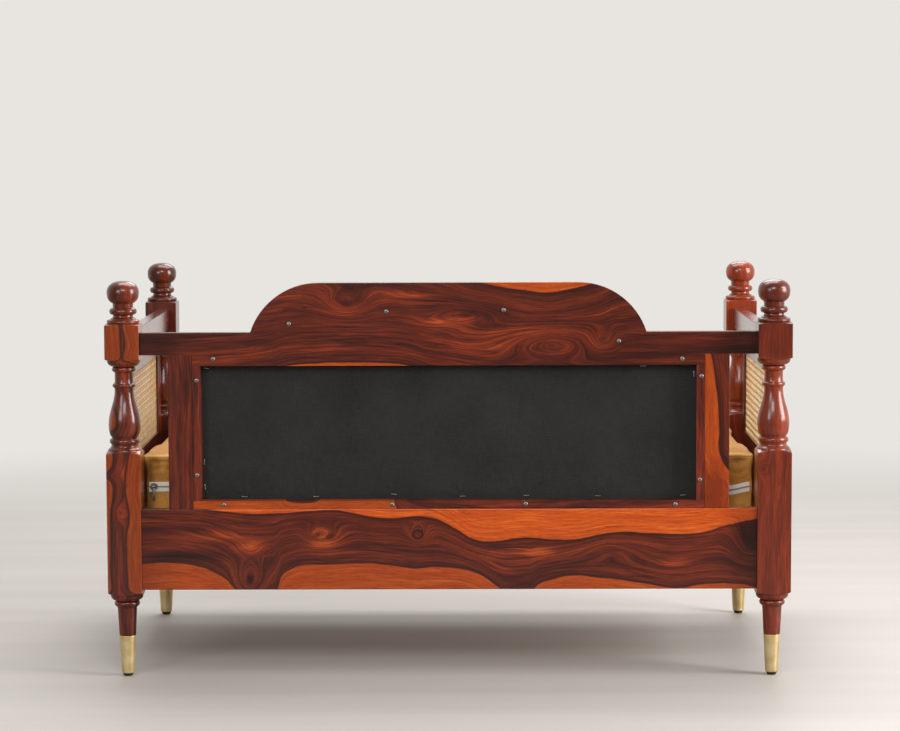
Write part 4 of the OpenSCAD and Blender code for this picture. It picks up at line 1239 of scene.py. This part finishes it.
def cloth_rise(x, z):
    """How far the lining stands off its panel, with a flat rim: puckers that fade away from each staple and
    come and go as a cosine of the angle round it, and slow waves."""
    rise = np.zeros_like(x)
    for at_x, at_z, _ in CLOTH_STAPLES_MM:
        away = np.hypot(x - at_x, z - at_z)
        turn = np.arctan2(z - at_z, x - at_x)
        rise += 0.9 * np.exp(-away / 26) * (0.5 + 0.5 * np.cos(turn * 7 + at_x)) * ease(away, 1, 12)
    rise += 0.35 * (0.5 + 0.5 * ripple(x + 0.3 * z, 4.1, (140, 230, 370), (1, 1, 1)))
    inside = ease(CLOTH_HALF_MM - np.abs(x), 4.2, 9)
    inside = inside * ease(z, CLOTH_LOW_MM + 4.2, CLOTH_LOW_MM + 9)
    return rise * (inside * ease(z, CLOTH_HIGH_MM - 4.2, CLOTH_HIGH_MM - 9))


def lining_cloth():
    """Thin black cloth: threads both ways over soft clouds."""
    made, t = material("lining_cloth", Roughness=0.9, Specular_IOR_Level=0.2, Sheen_Weight=0.08)
    place = t.place_mm()
    threads = t.noise(place, 1, 0.06, 1.0, 1.6) + t.noise(place, 1, 1.6, 1.0, 0.06)
    cloud = t.noise(place, 3, 0.01, 0.01, 0.01)
    tone = t.spread(threads * 0.35 + cloud * 0.3, 0.36, 0.64)
    t.give("Base Color", t.mix(tone, srgb(28, 28, 26), srgb(44, 44, 41)))
    t.bump(threads, 0.25, 0.6)
    return made


def dress_back_cloth():
    """Black lining stretched over the panel: a grid whose outer face stands off by its rise, with a flat
    inner face and a rim between them."""
    columns, rows = 320, 96
    x, z = np.meshgrid(np.linspace(-CLOTH_HALF_MM, CLOTH_HALF_MM, columns),
                       np.linspace(CLOTH_LOW_MM, CLOTH_HIGH_MM, rows))
    outer = np.stack([x, CLOTH_OUTER_MM + cloth_rise(x, z), z], -1).reshape(-1, 3)
    inner = np.stack([x, np.full_like(x, CLOTH_INNER_MM), z], -1).reshape(-1, 3)
    count = columns * rows
    sheet = grid_faces(rows, columns, wrap=False)
    number = np.arange(count).reshape(rows, columns)
    rim = np.concatenate([number[0], number[1:, -1], number[-1, -2::-1], number[-2:0:-1, 0]])
    edge = np.column_stack([rim, np.roll(rim, -1), np.roll(rim, -1) + count, rim + count])
    shape = np.vstack([outer, inner]), [sheet, sheet[:, ::-1] + count, edge]
    piece = make_piece("back_lining", shape, lining_cloth(), "back_cloth", 60)


def drive_staples():
    """Wire staples through the lining: a flattened section carried along a crown and its bent legs, which go
    into the panel."""
    finish = mottled("staple_wire", 0.8, srgb(170, 170, 168), srgb(225, 225, 222), 0.3, 2, Metallic=1.0)
    half = np.array([[-5.2, -4.0], [-5.2, 0.55], [-4.9, 0.95], [-4.4, 1.1]])
    path = np.vstack([half, half[::-1] * (-1, 1)])
    heading = np.gradient(path, axis=0)
    heading /= np.linalg.norm(heading, axis=1, keepdims=True)
    out = np.column_stack([-heading[:, 1], heading[:, 0]])
    beside, level = np.array([[-0.65, -0.3], [0.65, -0.3], [0.65, 0.3], [-0.65, 0.3]]).T
    along, height = np.moveaxis(path[:, None] + out[:, None] * level[None, :, None], -1, 0)
    staples = []
    for x, z, tilt in CLOTH_STAPLES_MM:
        cos, sin = math.cos(math.radians(tilt)), math.sin(math.radians(tilt))
        rings = [x + along * cos - beside * sin, CLOTH_FACE_MM + height, z + along * sin + beside * cos]
        staples.append(tube(np.stack(rings, -1)))
    make_piece("lining_staples", joined(staples), finish, smooth_deg=30)


def zip_cotton():
    """Cream herringbone tape, with the coils' shadows in its groove."""
    made, t = material("zip_cotton", Roughness=0.85, Sheen_Weight=0.1, Specular_IOR_Level=0.3)
    x, y, z = t.axes_mm()
    herringbone = t.calc("SINE", (x + abs(z - ZIP_LEVEL_MM)) * 4.4)
    tone = t.noise(t.join(x, y, z), 2, 1.4, 1.0, 2.2) * 0.7 + herringbone * 0.15
    coils = t.spread(t.calc("SINE", x * 4.2), -0.4, 0.6, 0.55, 1.0)
    tape = t.mix(tone, srgb(242, 235, 221), srgb(255, 252, 244))
    t.give("Base Color", t.mix(t.attribute("groove") * coils, tape, srgb(112, 96, 76)))
    t.bump(tone, 0.15, 0.6)
    return made


def dress_zip():
    """Tape in two halves and the metal slider with its hanging pull. The tape is a section with a groove,
    carried along the rear face and round both corners on arcs."""
    columns, straight_half, turn_mm = 600, 583.2, 9.0
    reach = straight_half + turn_mm * 1.35
    run = np.linspace(-reach, reach, columns)
    angle = np.maximum(np.abs(run) - straight_half, 0) / turn_mm
    level, rise = np.array([
        [-9.5, 0.0], [-9.4, 0.42], [-6, 0.55], [-2.6, 0.62], [-1.9, 0.72], [-1.5, 0.15]]).T
    level, rise = np.concatenate([level, -level[::-1]]), np.concatenate([rise, rise[::-1]])
    out = turn_mm + rise[:, None]
    x = np.sign(run) * (np.minimum(np.abs(run), straight_half) + out * np.sin(angle))
    y = box_mm("zip_tape")[0][1] - turn_mm + out * np.cos(angle)
    points = np.stack([x, y, level[:, None] + zip_level(x)], -1).reshape(-1, 3)
    rows = len(level)
    first, last = np.arange(columns), np.arange(columns) + columns * (rows - 1)
    under = np.column_stack([first[:-1], first[1:], last[1:], last[:-1]])
    ends = [np.arange(rows) * columns, (np.arange(rows) * columns + columns - 1)[::-1]]
    shape = points, [grid_faces(rows, columns, wrap=False), under, ends]
    tape = make_piece("zip_tape_halves", shape, zip_cotton(), "zip_tape", body="cushion")
    mark(tape, "groove", np.repeat(ease(np.abs(level), 1.8, 1.5), columns))
    metal = mottled("zip_nickel", 0.4, srgb(104, 100, 93), srgb(196, 192, 184), (0.42, 0.24),
                    relief_mm=0.03, Metallic=1.0)
    dressed("zip_slider", metal, ease_mm=0.35)
    dressed("zip_pull", metal, ease_mm=0.3)


# Floor and surroundings

BACKGROUND = srgb(232, 229, 224)
FLOOR_HALF = 14.0


def ray_kinds(t):
    """Whether a ray comes from the camera or through glass, and whether it comes off a glossy surface."""
    rays = t.outputs(t.add("ShaderNodeLightPath"))
    return t.calc("MAXIMUM", rays["Is Camera Ray"], rays["Is Transmission Ray"]), rays["Is Glossy Ray"]


def lay_floor():
    """A pale floor round the sofa that fades into the plain background further out."""
    made, t = material("pale_floor", Roughness=0.55)
    ours = t.out("Object", "ShaderNodeTexCoord")
    away = t.vector("LENGTH", t.vector("MULTIPLY", ours, (0.8, 1.0, 1.0)))
    seen, glossy = ray_kinds(t)
    pale = t.mix(t.noise(ours, 3, 0.7, 9.0, 1.0), srgb(178, 172, 165), srgb(196, 191, 185))
    t.give("Base Color", t.mix(glossy * 0.6, pale, (0, 0, 0, 1)))
    dimmed = (1.0 - seen) * t.spread(t.split(ours)[1], -1.0, 1.0, 0.0, 0.85, smooth=True)
    plain = t.out(0, "ShaderNodeEmission", {"Color": BACKGROUND, "Strength": 1.0 - dimmed})
    blend = t.shaders(t.spread(away, 1.5, 3.6, smooth=True), Value(t, t.end.outputs[0]), plain)
    t.feed(made.node_tree.nodes["Material Output"].inputs["Surface"], blend)
    corners = [(x * FLOOR_HALF, y * FLOOR_HALF, 0) for x, y in ((-1, -1), (1, -1), (1, 1), (-1, 1))]
    mesh = bpy.data.meshes.new("floor")
    mesh.from_pydata(corners, [], [(0, 1, 2, 3)])
    mesh.materials.append(made)
    place_object("floor", mesh)


def light_room():
    """Soft surroundings, stronger from above, and the lamps. The camera, glass and gloss see the plain
    background, which gloss sees dimmer towards the camera, where the room behind it would be."""
    world = bpy.data.worlds.new("room")
    bpy.context.scene.world = world
    world.use_nodes = True
    world.node_tree.nodes.clear()
    t = Tree(world.node_tree)
    _, ahead, upward = t.split(t.out("Generated", "ShaderNodeTexCoord"))
    seen, glossy = ray_kinds(t)
    glossy = t.calc("MAXIMUM", glossy - seen, 0.0)
    dimmed = glossy * t.spread(ahead, -0.4, 0.6, 0.0, 0.8, smooth=True)
    strength = t.spread(upward, -0.6, 0.9, 0.18, 0.52)
    ambient = t.out(0, "ShaderNodeBackground", {"Color": srgb(244, 243, 246), "Strength": strength})
    backdrop = t.out(0, "ShaderNodeBackground", {"Color": BACKGROUND, "Strength": 1.0 - dimmed})
    t.add("ShaderNodeOutputWorld", {"Surface": t.shaders(t.calc("MAXIMUM", seen, glossy), ambient, backdrop)})
    softbox("window_at_the_side", (-3.3, 1.2, 1.5), (1.5, 1.9), 134)
    softbox("lamp_beside_the_camera", (2.5, 4.3, 1.9), (1.6, 1.5), 56)
    softbox("lamp_above_the_camera", (0.1, 3.9, 2.7), (1.6, 1.0), 57)
    softbox("lamp_overhead", (0.0, -0.7, 3.2), (2.6, 1.4), 62, aim=(0, -0.1, 0.4))
    softbox("lamp_on_the_far_side", (-0.5, -2.9, 3.1), (2.2, 1.4), 48)


place_camera()
light_room()
lay_floor()
dress_posts()
dress_boards()
dress_hidden_wood()
dress_feet()
dress_screws()
dress_cane()
cover = fabric("mustard_cover", srgb(219, 160, 80), srgb(168, 112, 46), 3.0)
dress_cushion(cover)
dress_back_pad(cover)
dress_back_cloth()
drive_staples()
dress_zip()

scene = bpy.context.scene
scene.view_settings.view_transform = "Standard"
